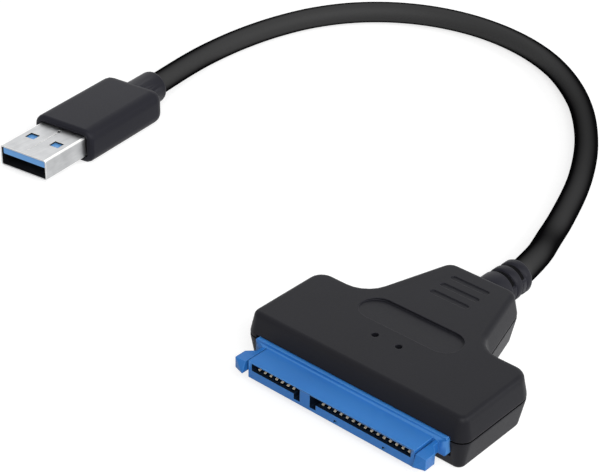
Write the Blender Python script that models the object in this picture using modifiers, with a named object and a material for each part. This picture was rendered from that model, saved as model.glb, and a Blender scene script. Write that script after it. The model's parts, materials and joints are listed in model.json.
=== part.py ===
"""A USB to SATA adapter: a two-part T-shaped housing with a blue drive connector, a cable and a USB plug.

Lengths are in metres with +Z up. The object's origin lies under the middle of the housing and its
strain relief, on the surface that it stands on. Pieces of the housing are laid out from the mating
face of the drive connector (y = 0, cable towards +Y), and pieces of the plug from its own mouth.
"""

import math

import bmesh
import bpy
from mathutils import Matrix, Vector

MM = 0.001

# Gaps between pieces
GAP = 0.3 * MM
SNUG = 0.2 * MM
OVERCUT = 1.0 * MM

# Housing: outline from above, then heights
HOUSING_SIDE = 1.9 * MM
WING_DEPTH = 19.3 * MM
NECK_LENGTH = 17.8 * MM
NECK_ROOT_WIDTH = 25.4 * MM
NECK_TIP_WIDTH = 15.4 * MM
FRONT_CORNER = 2.2 * MM
WING_CORNER = 3.4 * MM
NECK_FILLET = 4.6 * MM
NECK_CORNER = 2.8 * MM
HOUSING_HEIGHT = 10.0 * MM
PARTING_HEIGHT = 5.6 * MM
WALL = 1.5 * MM
UPPER_DRAFT = 0.6 * MM
LOWER_DRAFT = 0.8 * MM
PARTING_LAND = 0.4 * MM
TOP_ROUND = 1.1 * MM
BOTTOM_ROUND = 0.7 * MM
EDGE_STEPS = 4
LIP_THICKNESS = 0.8 * MM
LIP_HEIGHT = 0.8 * MM

# Marks on the top face
PANEL_LENGTH = 20.8 * MM
PANEL_WIDTH = 6.6 * MM
PANEL_BACK_DEPTH = 0.45 * MM
PANEL_FRONT_DEPTH = 0.05 * MM
PANEL_SETBACK = 15.8 * MM
GRIP_LENGTH = 8.2 * MM
GRIP_WIDTH = 1.2 * MM
GRIP_DEPTH = 0.4 * MM
GRIP_PITCH = 2.95 * MM
GRIP_COUNT = 3
GRIP_SETBACK = 26.4 * MM
LAMP_HOLE = 1.3 * MM
LAMP_SPACING = 5.0 * MM
LAMP_SETBACK = 9.4 * MM

# Drive connector: slots and contact ways
PITCH = 1.27 * MM
SIGNAL_WAYS = 7
POWER_WAYS = 15
GROUP_STEP = 6.35 * MM
SLOT_END = 0.95 * MM
KEY_END = 2.1 * MM
KEY_WIDTH = 1.3 * MM
KEY_DROP = 1.0 * MM
SLOT_HEIGHT = 1.4 * MM
SLOT_DEPTH = 5.6 * MM
GROOVE_WIDTH = 0.84 * MM
GROOVE_DEPTH = 0.65 * MM
GROOVE_START = 0.5 * MM
MOULD_MARK = 0.6 * MM
MOULD_MARK_DEPTH = 0.9 * MM
MOULD_MARK_PLACES = (1.45 * MM, 11.5 * MM)

# Drive connector: the blue body
BAR_REACH = 5.1 * MM
BAR_BOTTOM = 1.7 * MM
LIP_FACE = 1.6 * MM
ROOF = 0.35 * MM
BAR_END_WALL = 0.75 * MM
FLANGE_OVERHANG = 2.625 * MM
FLANGE_BOTTOM = 2.5 * MM
FLANGE_HEIGHT = 3.5 * MM
FLANGE_PROUD = 0.45 * MM
FLANGE_CORNER = 0.4 * MM
ANCHOR_STEP = 0.7 * MM
ANCHOR_DEPTH = 3.0 * MM
ANCHOR_BOTTOM = 1.9 * MM
ANCHOR_HEIGHT = 4.4 * MM

# Drive connector: guide ears
EAR_REACH = 2.55 * MM
EAR_GROOVE = 0.45 * MM
EAR_ARM_WIDTH = 0.75 * MM
EAR_BOTTOM = 2.7 * MM
EAR_TOP = 4.8 * MM
EAR_LEAD = 1.1 * MM
EAR_SLANT = 0.65 * MM
EAR_BROW = 0.85 * MM
EAR_HEAD_BACK = 1.9 * MM

# Drive connector: one contact strip
STRIP_WIDTH = 0.4 * MM
STRIP_THICKNESS = 0.2 * MM
STRIP_TAIL = 2.6 * MM
STRIP_LIFT = 0.85 * MM
STRIP_TIP_DROP = 0.5 * MM
STRIP_RISE_END = 3.35 * MM
STRIP_CREST_END = 2.25 * MM

# Circuit board and what it carries
BOARD_THICKNESS = 1.0 * MM
BOARD_SIDE_GAP = 0.9 * MM
BOARD_SETBACK = 5.4 * MM
BOARD_DEPTH = 10.9 * MM
POST_EDGE = 2.3 * MM
POST_ROW = 4.2 * MM
POST_INSET = 4.6 * MM
POST_DIAMETER = 2.8 * MM
PIN_DIAMETER = 1.2 * MM
CHIP_SIZE = (6.0 * MM, 6.0 * MM, 0.9 * MM)
CHIP_PLACE = (-7.0 * MM, 6.6 * MM)
MEMORY_SIZE = (3.4 * MM, 4.4 * MM, 1.3 * MM)
MEMORY_PLACE = (-12.6 * MM, 6.6 * MM)
CRYSTAL_SIZE = (3.0 * MM, 2.4 * MM, 0.8 * MM)
CRYSTAL_PLACE = (-0.4 * MM, 7.6 * MM)
REGULATOR_SIZE = (3.4 * MM, 5.6 * MM, 1.5 * MM)
REGULATOR_PLACE = (11.6 * MM, 5.4 * MM)
INDUCTOR_DIAMETER = 4.0 * MM
INDUCTOR_HEIGHT = 2.0 * MM
INDUCTOR_PLACE = (6.4 * MM, 6.6 * MM)
CAPACITOR_SIZE = (2.0 * MM, 1.2 * MM, 1.0 * MM)
CAPACITOR_PLACES = ((6.6 * MM, 1.9 * MM), (-6.6 * MM, 1.9 * MM))
LAMP_SIZE = (1.6 * MM, 0.8 * MM, 0.7 * MM)
CHIP_ROUND = 0.12 * MM

# Cable and strain relief
CABLE_DIAMETER = 5.0 * MM
CABLE_AXIS_HEIGHT = 5.0 * MM
CABLE_SIDES = 3
CABLE_STEP = 7.5 * MM
CABLE_TAIL = 3.4 * MM
BOOT_RINGS = 3
BOOT_BASE_DIAMETER = 7.0 * MM
BOOT_TIP_DIAMETER = 6.6 * MM
BOOT_GROOVE_DIAMETER = 5.9 * MM
BOOT_FIRST_RING = 4.0 * MM
BOOT_RING = 1.9 * MM
BOOT_GROOVE = 1.1 * MM
BOOT_END_ROUND = 0.45 * MM
BOOT_FLANGE_DIAMETER = 7.6 * MM
BOOT_FLANGE = 1.5 * MM
BOOT_WAIST_DIAMETER = 6.2 * MM
WIRE_DIAMETER = 0.9 * MM
WIRE_FAN = 2.4 * MM
WIRE_BUNDLE = 1.15 * MM
WIRE_LEVEL_RUN = 3.45 * MM
WIRE_STEP = 2.7 * MM
WIRE_NAMES = ("red", "white", "green", "blue", "black")

# USB plug
PLUG_MOUTH = (-98.4 * MM, 20.3 * MM)
PLUG_TURN = math.radians(8.0)
PLUG_WIDTH = 12.0 * MM
PLUG_HEIGHT = 4.5 * MM
PLUG_SHEET = 0.3 * MM
PLUG_CORNER = 0.5 * MM
PLUG_EXPOSED = 12.3 * MM
PLUG_BURIED = 5.0 * MM
WINDOW_WIDTH = 2.3 * MM
WINDOW_LENGTH = 2.0 * MM
WINDOW_SPACING = 6.4 * MM
WINDOW_SETBACK = 6.6 * MM
TONGUE_THICKNESS = 1.4 * MM
TONGUE_LENGTH = 12.0 * MM
TONGUE_SETBACK = 0.3 * MM
PLUG_BLADE = (1.0 * MM, 6.6 * MM, 0.2 * MM)
PLUG_BLADE_SETBACK = 1.3 * MM
PLUG_BLADE_PLACES = (-3.5 * MM, -1.0 * MM, 1.0 * MM, 3.5 * MM)
PLUG_SPRING = (0.7 * MM, 2.2 * MM, 0.2 * MM)
PLUG_SPRING_SETBACK = 8.8 * MM
PLUG_SPRING_RISE = 0.35 * MM
PLUG_SPRING_BENDS = (0.7 * MM, 1.1 * MM, 1.5 * MM)
PLUG_SPRING_PLACES = (-4.0 * MM, -2.0 * MM, 0.0, 2.0 * MM, 4.0 * MM)
GRIP_BODY = (15.4 * MM, 24.4 * MM, 7.6 * MM)
GRIP_BODY_ROUND = 2.5 * MM
GRIP_BODY_NOSE = 0.8 * MM
COLLAR_DIAMETER = 7.4 * MM
COLLAR_LENGTH = 6.4 * MM
COLLAR_ROUND = 0.9 * MM

# The free cable's route, chosen by hand, from the housing round to the plug
ROUTE = (
    (-1.9, 61.8, 4.2),
    (-4.9, 70.0, 2.9),
    (-7.8, 78.8, 2.55),
    (-13.7, 94.0, 2.55),
    (-22.4, 109.7, 2.55),
    (-33.8, 123.8, 2.55),
    (-47.2, 134.2, 2.55),
    (-60.0, 139.2, 2.55),
    (-72.5, 140.3, 2.55),
    (-83.6, 138.0, 2.55),
    (-92.6, 133.2, 2.55),
    (-99.8, 126.2, 2.55),
    (-104.9, 117.4, 2.55),
    (-107.9, 107.4, 2.55),
    (-109.3, 96.4, 2.55),
    (-109.2, 85.6, 2.6),
    (-107.6, 76.6, 3.1),
)

# Places that follow from the sizes above
FRONT_Y = BAR_REACH
WING_BACK_Y = FRONT_Y + WING_DEPTH
HOUSING_BACK_Y = WING_BACK_Y + NECK_LENGTH
BOOT_START_Y = HOUSING_BACK_Y + GAP
BOOT_END_Y = BOOT_START_Y + BOOT_FIRST_RING + (BOOT_RINGS - 1) * (BOOT_GROOVE + BOOT_RING)
ORIGIN_Y = (BOOT_END_Y - EAR_LEAD) / 2
LIP_INSET = WALL + GAP
LOWER_INSET = LIP_INSET + LIP_THICKNESS
SLOT_FLOOR = BAR_BOTTOM + LIP_FACE
SLOT_CEILING = SLOT_FLOOR + SLOT_HEIGHT
BAR_TOP = SLOT_CEILING + ROOF
BAR_BACK_Y = FRONT_Y - GAP
WAYS_SPAN = (SIGNAL_WAYS + POWER_WAYS - 2) * PITCH + GROUP_STEP
SIGNAL_START = -WAYS_SPAN / 2
SIGNAL_STOP = SIGNAL_START + (SIGNAL_WAYS - 1) * PITCH
POWER_START = SIGNAL_STOP + GROUP_STEP
POWER_STOP = -SIGNAL_START
BAR_HALF = POWER_STOP + SLOT_END + BAR_END_WALL
FLANGE_HALF = BAR_HALF + FLANGE_OVERHANG
ANCHOR_HALF = FLANGE_HALF + ANCHOR_STEP
HOUSING_HALF = ANCHOR_HALF + GAP + HOUSING_SIDE
BOARD_HALF = HOUSING_HALF - LOWER_INSET - LOWER_DRAFT - BOARD_SIDE_GAP
POST_SIDE = BOARD_HALF - POST_EDGE
ANCHOR_Y = FRONT_Y + WALL + GAP
ANCHOR_BACK_Y = ANCHOR_Y + ANCHOR_DEPTH
GROOVE_FLOOR = SLOT_FLOOR - GROOVE_DEPTH
STRIP_HEIGHT = SLOT_FLOOR - GAP
BOARD_Y = FRONT_Y + BOARD_SETBACK
BOARD_BOTTOM = STRIP_HEIGHT + STRIP_THICKNESS / 2 + GAP
BOARD_TOP = BOARD_BOTTOM + BOARD_THICKNESS
PART_HEIGHT = BOARD_TOP + GAP
FLOOR_HEIGHT = WALL
CEILING_HEIGHT = HOUSING_HEIGHT - WALL
POST_Y = BOARD_Y + POST_INSET
BOOT_FLANGE_Y = HOUSING_BACK_Y - LOWER_INSET - GAP - BOOT_FLANGE
CABLE_START_Y = BOOT_FLANGE_Y - CABLE_TAIL / 2
GRIP_BODY_SETBACK = PLUG_EXPOSED
COLLAR_START = GRIP_BODY_SETBACK + GRIP_BODY[1]
COLLAR_END = COLLAR_START + COLLAR_LENGTH
POCKET_DEPTH = PLUG_BURIED + GAP
CABLE_STOP = PLUG_EXPOSED + PLUG_BURIED + CABLE_TAIL
PLUG_HEIGHT_OVER_FLOOR = GRIP_BODY[2] / 2


def clear_scene():
    """Removes everything from the scene, so that the model starts empty."""
    for obj in list(bpy.data.objects):
        bpy.data.objects.remove(obj, do_unlink=True)


def new_collection(name):
    """A collection under the scene's own."""
    collection = bpy.data.collections.new(name)
    bpy.context.scene.collection.children.link(collection)
    return collection


def new_material(name, colour, roughness, metallic=0.0):
    """A Principled material with one colour."""
    material = bpy.data.materials.new(name)
    material.use_nodes = True
    shader = material.node_tree.nodes["Principled BSDF"]
    shader.inputs["Base Color"].default_value = (*colour, 1.0)
    shader.inputs["Roughness"].default_value = roughness
    shader.inputs["Metallic"].default_value = metallic
    material.diffuse_color = (*colour, 1.0)
    return material


def new_frame(name, location, turn=0.0):
    """An empty that carries the pieces laid out from one reference place."""
    empty = bpy.data.objects.new(name, None)
    empty.location = location
    empty.rotation_euler.z = turn
    parts.objects.link(empty)
    return empty


def place(obj, material, parent):
    """Puts a finished piece in the model, with its material and smooth round faces."""
    parts.objects.link(obj)
    obj.parent = parent
    obj.data.materials.append(material)
    if obj.type == "MESH":
        obj.data.shade_smooth()
        obj.data.set_sharp_from_angle(angle=math.radians(35))
    return obj


def mesh_object(name, bm):
    """An object of a finished bmesh, with its normals pointing out."""
    bmesh.ops.recalc_face_normals(bm, faces=bm.faces)
    mesh = bpy.data.meshes.new(name)
    bm.to_mesh(mesh)
    bm.free()
    return bpy.data.objects.new(name, mesh)


def tool(obj, parent):
    """Keeps an object as a helper for Booleans: drawn as wires and left out of the model."""
    helpers.objects.link(obj)
    obj.parent = parent
    obj.hide_render = True
    obj.display_type = "WIRE"
    return obj


def combine(obj, operation, helper):
    """Adds a Boolean modifier that cuts a helper from a piece, or joins it on."""
    modifier = obj.modifiers.new(f"{operation.lower()}_{helper.name}", "BOOLEAN")
    modifier.operation = operation
    modifier.solver = "EXACT"
    modifier.object = helper


def add_box(bm, low, high):
    """A box between two corners, added to a bmesh. Returns its vertices."""
    low, high = Vector(low), Vector(high)
    size = high - low
    matrix = Matrix.Translation((low + high) / 2) @ Matrix.Diagonal((*size, 1.0))
    return bmesh.ops.create_cube(bm, size=1.0, matrix=matrix)["verts"]


def box(name, low, high, rounding=0.0):
    """A box between two corners, with all its edges rounded if asked."""
    bm = bmesh.new()
    add_box(bm, low, high)
    if rounding > 0.0:
        bmesh.ops.bevel(bm, geom=bm.edges[:], offset=rounding, segments=2, profile=0.5, affect="EDGES")
    return mesh_object(name, bm)


def add_cylinder(bm, centre, diameter, length, along="Z", sides=24):
    """A cylinder centred on a point and lying along Z or Y, added to a bmesh."""
    turn = Matrix.Rotation(math.radians(90), 4, "X") if along == "Y" else Matrix.Identity(4)
    bmesh.ops.create_cone(
        bm,
        cap_ends=True,
        segments=sides,
        radius1=diameter / 2,
        radius2=diameter / 2,
        depth=length,
        matrix=Matrix.Translation(Vector(centre)) @ turn,
    )


def cylinder(name, centre, diameter, length, along="Z", sides=24):
    """A cylinder as an object."""
    bm = bmesh.new()
    add_cylinder(bm, centre, diameter, length, along, sides)
    return mesh_object(name, bm)


def rounded_outline(corners, arc_step=math.radians(15)):
    """Points of a closed outline. Each corner is x, y and the radius of its arc, anticlockwise."""
    points = []
    for i, (x, y, radius) in enumerate(corners):
        corner = Vector((x, y))
        before = (Vector(corners[i - 1][:2]) - corner).normalized()
        after = (Vector(corners[(i + 1) % len(corners)][:2]) - corner).normalized()
        half_angle = before.angle(after) / 2
        centre = corner + (before + after).normalized() * (radius / math.sin(half_angle))
        reach = radius / math.tan(half_angle)
        start = corner + before * reach - centre
        sweep = start.angle_signed(corner + after * reach - centre)
        steps = max(2, round(abs(sweep) / arc_step))
        for step in range(steps + 1):
            arm = start.copy()
            arm.rotate(Matrix.Rotation(-sweep * step / steps, 2))
            points.append(centre + arm)
    return points


def housing_outline(inset):
    """The T outline of the housing at its parting line, moved inwards by an inset."""
    half = HOUSING_HALF - inset
    lean = (NECK_ROOT_WIDTH - NECK_TIP_WIDTH) / 2 / NECK_LENGTH
    sideways = inset * math.hypot(1.0, lean)
    root = NECK_ROOT_WIDTH / 2 + lean * inset - sideways
    tip = NECK_TIP_WIDTH / 2 + lean * inset - sideways
    wing_back = WING_BACK_Y - inset
    neck_back = HOUSING_BACK_Y - inset
    least = SNUG
    right = [
        (half, FRONT_Y + inset, max(FRONT_CORNER - inset, least)),
        (half, wing_back, max(WING_CORNER - inset, least)),
        (root, wing_back, NECK_FILLET + inset),
        (tip, neck_back, max(NECK_CORNER - inset, least)),
    ]
    left = [(-x, y, radius) for x, y, radius in reversed(right)]
    return rounded_outline(right + left)


def housing_block(name, levels):
    """A solid with the housing's outline: each level is a height and how far the outline moves in there."""
    bm = bmesh.new()
    rings = [[bm.verts.new((x, y, z)) for x, y in housing_outline(inset)] for z, inset in levels]
    for low, high in zip(rings, rings[1:]):
        for i in range(len(low)):
            bm.faces.new((low[i - 1], low[i], high[i], high[i - 1]))
    bm.faces.new(rings[0])
    bm.faces.new(rings[-1])
    return mesh_object(name, bm)


def drafted_levels(start, end, draft, edge_round):
    """Levels from the parting line to a flat end: a land, a leaning wall, then a rounded edge."""
    way = math.copysign(1.0, end - start)
    levels = [(start, 0.0), (start + way * PARTING_LAND, 0.0)]
    for step in range(EDGE_STEPS + 1):
        angle = math.radians(90) * step / EDGE_STEPS
        height = end - way * edge_round * (1 - math.sin(angle))
        levels.append((height, draft + edge_round * (1 - math.cos(angle))))
    return levels


def remap(obj, matrix):
    """Moves a solid's mesh by a matrix that may also mirror it, with its normals kept pointing out."""
    bm = bmesh.new()
    bm.from_mesh(obj.data)
    bm.transform(matrix)
    bmesh.ops.recalc_face_normals(bm, faces=bm.faces)
    bm.to_mesh(obj.data)
    bm.free()
    return obj


def plate(name, outline, low, high):
    """A flat outline in XY, extruded between two heights."""
    curve = bpy.data.curves.new(name, "CURVE")
    curve.dimensions = "2D"
    curve.fill_mode = "BOTH"
    curve.extrude = (high - low) / 2
    spline = curve.splines.new("POLY")
    spline.points.add(len(outline) - 1)
    for point, (x, y) in zip(spline.points, outline):
        point.co = (x, y, 0.0, 1.0)
    spline.use_cyclic_u = True
    return solid_from_curve(name, curve, Matrix.Translation((0, 0, (low + high) / 2)))


def solid_from_curve(name, curve, matrix):
    """The mesh of a curve with its loose caps welded on, moved by a matrix."""
    holder = bpy.data.objects.new(name, curve)
    bpy.context.scene.collection.objects.link(holder)
    graph = bpy.context.evaluated_depsgraph_get()
    mesh = bpy.data.meshes.new_from_object(holder.evaluated_get(graph))
    bpy.data.objects.remove(holder)
    bm = bmesh.new()
    bm.from_mesh(mesh)
    bmesh.ops.remove_doubles(bm, verts=bm.verts, dist=0.001 * MM)
    bm.transform(matrix)
    return mesh_object(name, bm)


def stadium(length, width, centre_y, arc_step=math.radians(20)):
    """The outline of a slot with round ends, centred on x = 0."""
    radius = width / 2 - 0.001 * MM
    half = length / 2
    low, high = centre_y - width / 2, centre_y + width / 2
    corners = [(half, low, radius), (half, high, radius), (-half, high, radius), (-half, low, radius)]
    return rounded_outline(corners, arc_step)


def strip_outline(path, thickness):
    """The outline of a bent strip of even thickness that follows a path."""
    path = [Vector(point) for point in path]
    sides = ([], [])
    for i, point in enumerate(path):
        before = (point - path[max(i - 1, 0)]).normalized()
        after = (path[min(i + 1, len(path) - 1)] - point).normalized()
        before = before if before.length else after
        after = after if after.length else before
        across = (before + after).normalized().orthogonal()
        reach = thickness / 2 / max(across.dot(after.orthogonal()), 0.5)
        sides[0].append(point + across * reach)
        sides[1].append(point - across * reach)
    return sides[0] + sides[1][::-1]


def contact_ways():
    """Name and x of each way of the drive connector, signals first."""
    ways = [(f"signal_contact_{i + 1}", SIGNAL_START + i * PITCH) for i in range(SIGNAL_WAYS)]
    ways += [(f"power_contact_{i + 1:02d}", POWER_START + i * PITCH) for i in range(POWER_WAYS)]
    return ways


def contact_strip(name, x):
    """One sprung contact: its tail lies under the board and its tip rises into the slot."""
    tail = BOARD_Y + STRIP_TAIL
    level = STRIP_HEIGHT
    path = [
        (tail, level),
        (SLOT_DEPTH - GAP, level),
        (STRIP_RISE_END, level + STRIP_LIFT),
        (STRIP_CREST_END, level + STRIP_LIFT),
        (GROOVE_START + GAP, level + STRIP_LIFT - STRIP_TIP_DROP),
    ]
    return bent_strip(name, path, STRIP_THICKNESS, STRIP_WIDTH, x)


def build_contacts():
    """All the contact strips, one piece each."""
    for name, x in contact_ways():
        place(contact_strip(name, x), gold, adapter)


def slot_tool():
    """Both L-shaped slots and the groove of each contact way, as one cutter."""
    bm = bmesh.new()
    signal_end = SIGNAL_STOP + KEY_END
    power_end = POWER_START - KEY_END
    add_box(bm, (SIGNAL_START - SLOT_END, -OVERCUT, SLOT_FLOOR), (signal_end, SLOT_DEPTH, SLOT_CEILING))
    add_box(bm, (power_end, -OVERCUT, SLOT_FLOOR), (POWER_STOP + SLOT_END, SLOT_DEPTH, SLOT_CEILING))
    slots = tool(mesh_object("slots", bm), adapter)
    keys = bmesh.new()
    key_top = SLOT_FLOOR + SNUG
    key_bottom = SLOT_FLOOR - KEY_DROP
    key_depth = SLOT_DEPTH - SNUG
    add_box(keys, (signal_end - KEY_WIDTH, -OVERCUT, key_bottom), (signal_end, key_depth, key_top))
    add_box(keys, (power_end, -OVERCUT, key_bottom), (power_end + KEY_WIDTH, key_depth, key_top))
    combine(slots, "UNION", tool(mesh_object("slot_keys", keys), adapter))
    grooves = bmesh.new()
    for _, x in contact_ways():
        half = GROOVE_WIDTH / 2
        add_box(grooves, (x - half, GROOVE_START, GROOVE_FLOOR), (x + half, ANCHOR_BACK_Y + OVERCUT, key_top))
    combine(slots, "UNION", tool(mesh_object("contact_grooves", grooves), adapter))
    return slots


def ear(side):
    """One guide ear: a thin arm that flares out into a head, whose slanted front leads the drive in."""
    inner = BAR_HALF + EAR_GROOVE
    arm_outer = inner + EAR_ARM_WIDTH
    outer = BAR_HALF + EAR_REACH
    outline = [
        (inner, FRONT_Y),
        (inner, -EAR_LEAD),
        (outer, EAR_SLANT - EAR_LEAD),
        (outer, EAR_HEAD_BACK),
        (arm_outer, EAR_HEAD_BACK + outer - arm_outer),
        (arm_outer, FRONT_Y),
    ]
    solid = plate(f"ear_{'right' if side > 0 else 'left'}", outline, EAR_BOTTOM, EAR_TOP)
    middle = (EAR_BOTTOM + EAR_TOP) / 2
    bm = bmesh.new()
    bm.from_mesh(solid.data)
    front = [vertex for vertex in bm.verts if vertex.co.y < 0.0]
    tip = next(v for v in front if v.co.x < arm_outer and v.co.z < middle)
    brow = next(v for v in front if v.co.x < arm_outer and v.co.z > middle)
    cheek = next(v for v in front if v.co.x > arm_outer and v.co.z > middle)
    brow.co.y += EAR_BROW
    bmesh.ops.connect_verts(bm, verts=[tip, cheek])
    bm.to_mesh(solid.data)
    bm.free()
    return tool(remap(solid, Matrix.Diagonal((side, 1, 1, 1))), adapter)


def lengthwise_plate(name, outline, front, back):
    """A flat outline in XZ, extruded from front to back along Y."""
    upright = Matrix(((1, 0, 0, 0), (0, 0, 1, 0), (0, 1, 0, 0), (0, 0, 0, 1)))
    return remap(plate(name, outline, front, back), upright)


def bent_strip(name, path, thickness, width, x):
    """A strip of even thickness along a path in YZ, centred across on x."""
    flat = plate(name, strip_outline(path, thickness), -width / 2, width / 2)
    return remap(flat, Matrix(((0, 0, 1, x), (1, 0, 0, 0), (0, 1, 0, 0), (0, 0, 0, 1))))


def build_sata_body():
    """The blue body: bar with two L-shaped slots, flange, anchor inside the housing, and guide ears."""
    body = box("sata_body", (-BAR_HALF, 0, BAR_BOTTOM), (BAR_HALF, BAR_BACK_Y, BAR_TOP))
    place(body, blue, adapter)
    half = FLANGE_HALF
    top = FLANGE_BOTTOM + FLANGE_HEIGHT
    outline = rounded_outline(
        [
            (half, FLANGE_BOTTOM, FLANGE_CORNER),
            (half, top, FLANGE_CORNER),
            (-half, top, FLANGE_CORNER),
            (-half, FLANGE_BOTTOM, FLANGE_CORNER),
        ]
    )
    flange_front = FRONT_Y - FLANGE_PROUD
    flange = lengthwise_plate("flange", outline, flange_front, ANCHOR_Y + GAP)
    combine(body, "UNION", tool(flange, adapter))
    anchor_low = (-ANCHOR_HALF, ANCHOR_Y, ANCHOR_BOTTOM)
    anchor_high = (ANCHOR_HALF, ANCHOR_BACK_Y, ANCHOR_BOTTOM + ANCHOR_HEIGHT)
    combine(body, "UNION", tool(box("anchor", anchor_low, anchor_high), adapter))
    combine(body, "UNION", ear(1))
    combine(body, "UNION", ear(-1))
    combine(body, "DIFFERENCE", slot_tool())
    marks = bmesh.new()
    mark_height = BAR_BOTTOM + (SLOT_FLOOR - GROOVE_DEPTH - BAR_BOTTOM) / 2
    for x in MOULD_MARK_PLACES:
        low = (x - MOULD_MARK / 2, -OVERCUT, mark_height - MOULD_MARK / 2)
        add_box(marks, low, (x + MOULD_MARK / 2, MOULD_MARK_DEPTH, mark_height + MOULD_MARK / 2))
    combine(body, "DIFFERENCE", tool(mesh_object("mould_marks", marks), adapter))


def connector_window(name):
    """The opening in the housing's front wall that the flange stands in."""
    half = FLANGE_HALF + GAP
    low = (-half, 0, FLANGE_BOTTOM - GAP)
    return tool(box(name, low, (half, ANCHOR_Y + GAP, FLANGE_BOTTOM + FLANGE_HEIGHT + GAP)), adapter)


def anchor_pocket(name):
    """The space inside the housing that holds the connector's anchor."""
    half = ANCHOR_HALF + GAP
    low = (-half, FRONT_Y + WALL, ANCHOR_BOTTOM - GAP)
    high = (half, ANCHOR_BACK_Y + GAP, ANCHOR_BOTTOM + ANCHOR_HEIGHT + GAP)
    return tool(box(name, low, high), adapter)


def boot_seat(name):
    """The hole in the neck's end wall and the groove behind it that hold the strain relief."""
    bm = bmesh.new()
    hole_length = LOWER_INSET + 2 * OVERCUT
    hole_centre = (0, HOUSING_BACK_Y - LOWER_INSET / 2, CABLE_AXIS_HEIGHT)
    add_cylinder(bm, hole_centre, BOOT_WAIST_DIAMETER + 2 * GAP, hole_length, "Y")
    seat = tool(mesh_object(name, bm), adapter)
    length = BOOT_FLANGE + 2 * GAP
    centre = (0, BOOT_FLANGE_Y + BOOT_FLANGE / 2, CABLE_AXIS_HEIGHT)
    groove = cylinder(f"{name}_groove", centre, BOOT_FLANGE_DIAMETER + 2 * GAP, length, "Y")
    combine(seat, "UNION", tool(groove, adapter))
    return seat


def post_places():
    """Centres of the four posts that hold the circuit board."""
    return [(side * POST_SIDE, POST_Y + row * POST_ROW) for side in (-1, 1) for row in (0, 1)]


def build_lower_shell():
    """The lower half: floor, walls with a locating lip, posts with pins for the board."""
    start = PARTING_HEIGHT - GAP / 2
    outer = housing_block("lower_shell", drafted_levels(start, 0.0, LOWER_DRAFT, BOTTOM_ROUND))
    shell = place(outer, charcoal, adapter)
    lip_top = PARTING_HEIGHT + LIP_HEIGHT
    lip = housing_block("lip", [(WALL / 2, LIP_INSET), (lip_top, LIP_INSET)])
    combine(shell, "UNION", tool(lip, adapter))
    hollow_levels = [
        (lip_top + OVERCUT, LOWER_INSET),
        (start - PARTING_LAND, LOWER_INSET),
        (FLOOR_HEIGHT, LOWER_INSET + LOWER_DRAFT),
    ]
    combine(shell, "DIFFERENCE", tool(housing_block("lower_hollow", hollow_levels), adapter))
    combine(shell, "DIFFERENCE", anchor_pocket("lower_anchor_pocket"))
    combine(shell, "DIFFERENCE", connector_window("lower_window"))
    combine(shell, "DIFFERENCE", boot_seat("lower_boot_seat"))
    posts = bmesh.new()
    pins = bmesh.new()
    foot = FLOOR_HEIGHT - GAP
    post_top = BOARD_BOTTOM - GAP
    pin_top = BOARD_TOP - SNUG
    for x, y in post_places():
        add_cylinder(posts, (x, y, (foot + post_top) / 2), POST_DIAMETER, post_top - foot)
        add_cylinder(pins, (x, y, (foot + pin_top) / 2), PIN_DIAMETER, pin_top - foot, sides=12)
    combine(shell, "UNION", tool(mesh_object("lower_posts", posts), adapter))
    combine(shell, "UNION", tool(mesh_object("lower_pins", pins), adapter))


def build_upper_shell():
    """The upper half: drafted walls and rounded top, panel, grip grooves, lamp holes and clamping posts."""
    start = PARTING_HEIGHT + GAP / 2
    outer = housing_block("upper_shell", drafted_levels(start, HOUSING_HEIGHT, UPPER_DRAFT, TOP_ROUND))
    shell = place(outer, charcoal, adapter)
    hollow_levels = [
        (start - OVERCUT, WALL),
        (start + PARTING_LAND, WALL),
        (CEILING_HEIGHT, WALL + UPPER_DRAFT),
    ]
    combine(shell, "DIFFERENCE", tool(housing_block("upper_hollow", hollow_levels), adapter))
    combine(shell, "DIFFERENCE", connector_window("upper_window"))
    combine(shell, "DIFFERENCE", boot_seat("upper_boot_seat"))
    top = HOUSING_HEIGHT + OVERCUT
    panel_y = FRONT_Y + PANEL_SETBACK
    panel_floor = HOUSING_HEIGHT - (PANEL_BACK_DEPTH + PANEL_FRONT_DEPTH) / 2
    panel = plate("panel", stadium(PANEL_LENGTH, PANEL_WIDTH, panel_y), panel_floor, top)
    slope = (PANEL_BACK_DEPTH - PANEL_FRONT_DEPTH) / PANEL_WIDTH
    lean = Matrix(((1, 0, 0, 0), (0, 1, 0, 0), (0, -slope, 1, slope * panel_y), (0, 0, 0, 1)))
    combine(shell, "DIFFERENCE", tool(remap(panel, lean), adapter))
    for row in range(GRIP_COUNT):
        y = FRONT_Y + GRIP_SETBACK + row * GRIP_PITCH
        groove = plate(
            f"grip_groove_{row + 1}",
            stadium(GRIP_LENGTH, GRIP_WIDTH, y, math.radians(30)),
            HOUSING_HEIGHT - GRIP_DEPTH,
            top,
        )
        combine(shell, "DIFFERENCE", tool(groove, adapter))
    holes = bmesh.new()
    hole_length = WALL + 2 * OVERCUT
    for side in (-1, 1):
        centre = (side * LAMP_SPACING / 2, FRONT_Y + LAMP_SETBACK, HOUSING_HEIGHT - WALL / 2)
        add_cylinder(holes, centre, LAMP_HOLE, hole_length, sides=16)
    combine(shell, "DIFFERENCE", tool(mesh_object("lamp_holes", holes), adapter))
    posts = bmesh.new()
    post_top = CEILING_HEIGHT + GAP
    post_foot = BOARD_TOP + GAP
    for x, y in post_places():
        add_cylinder(posts, (x, y, (post_foot + post_top) / 2), POST_DIAMETER, post_top - post_foot)
    combine(shell, "UNION", tool(mesh_object("upper_posts", posts), adapter))


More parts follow.
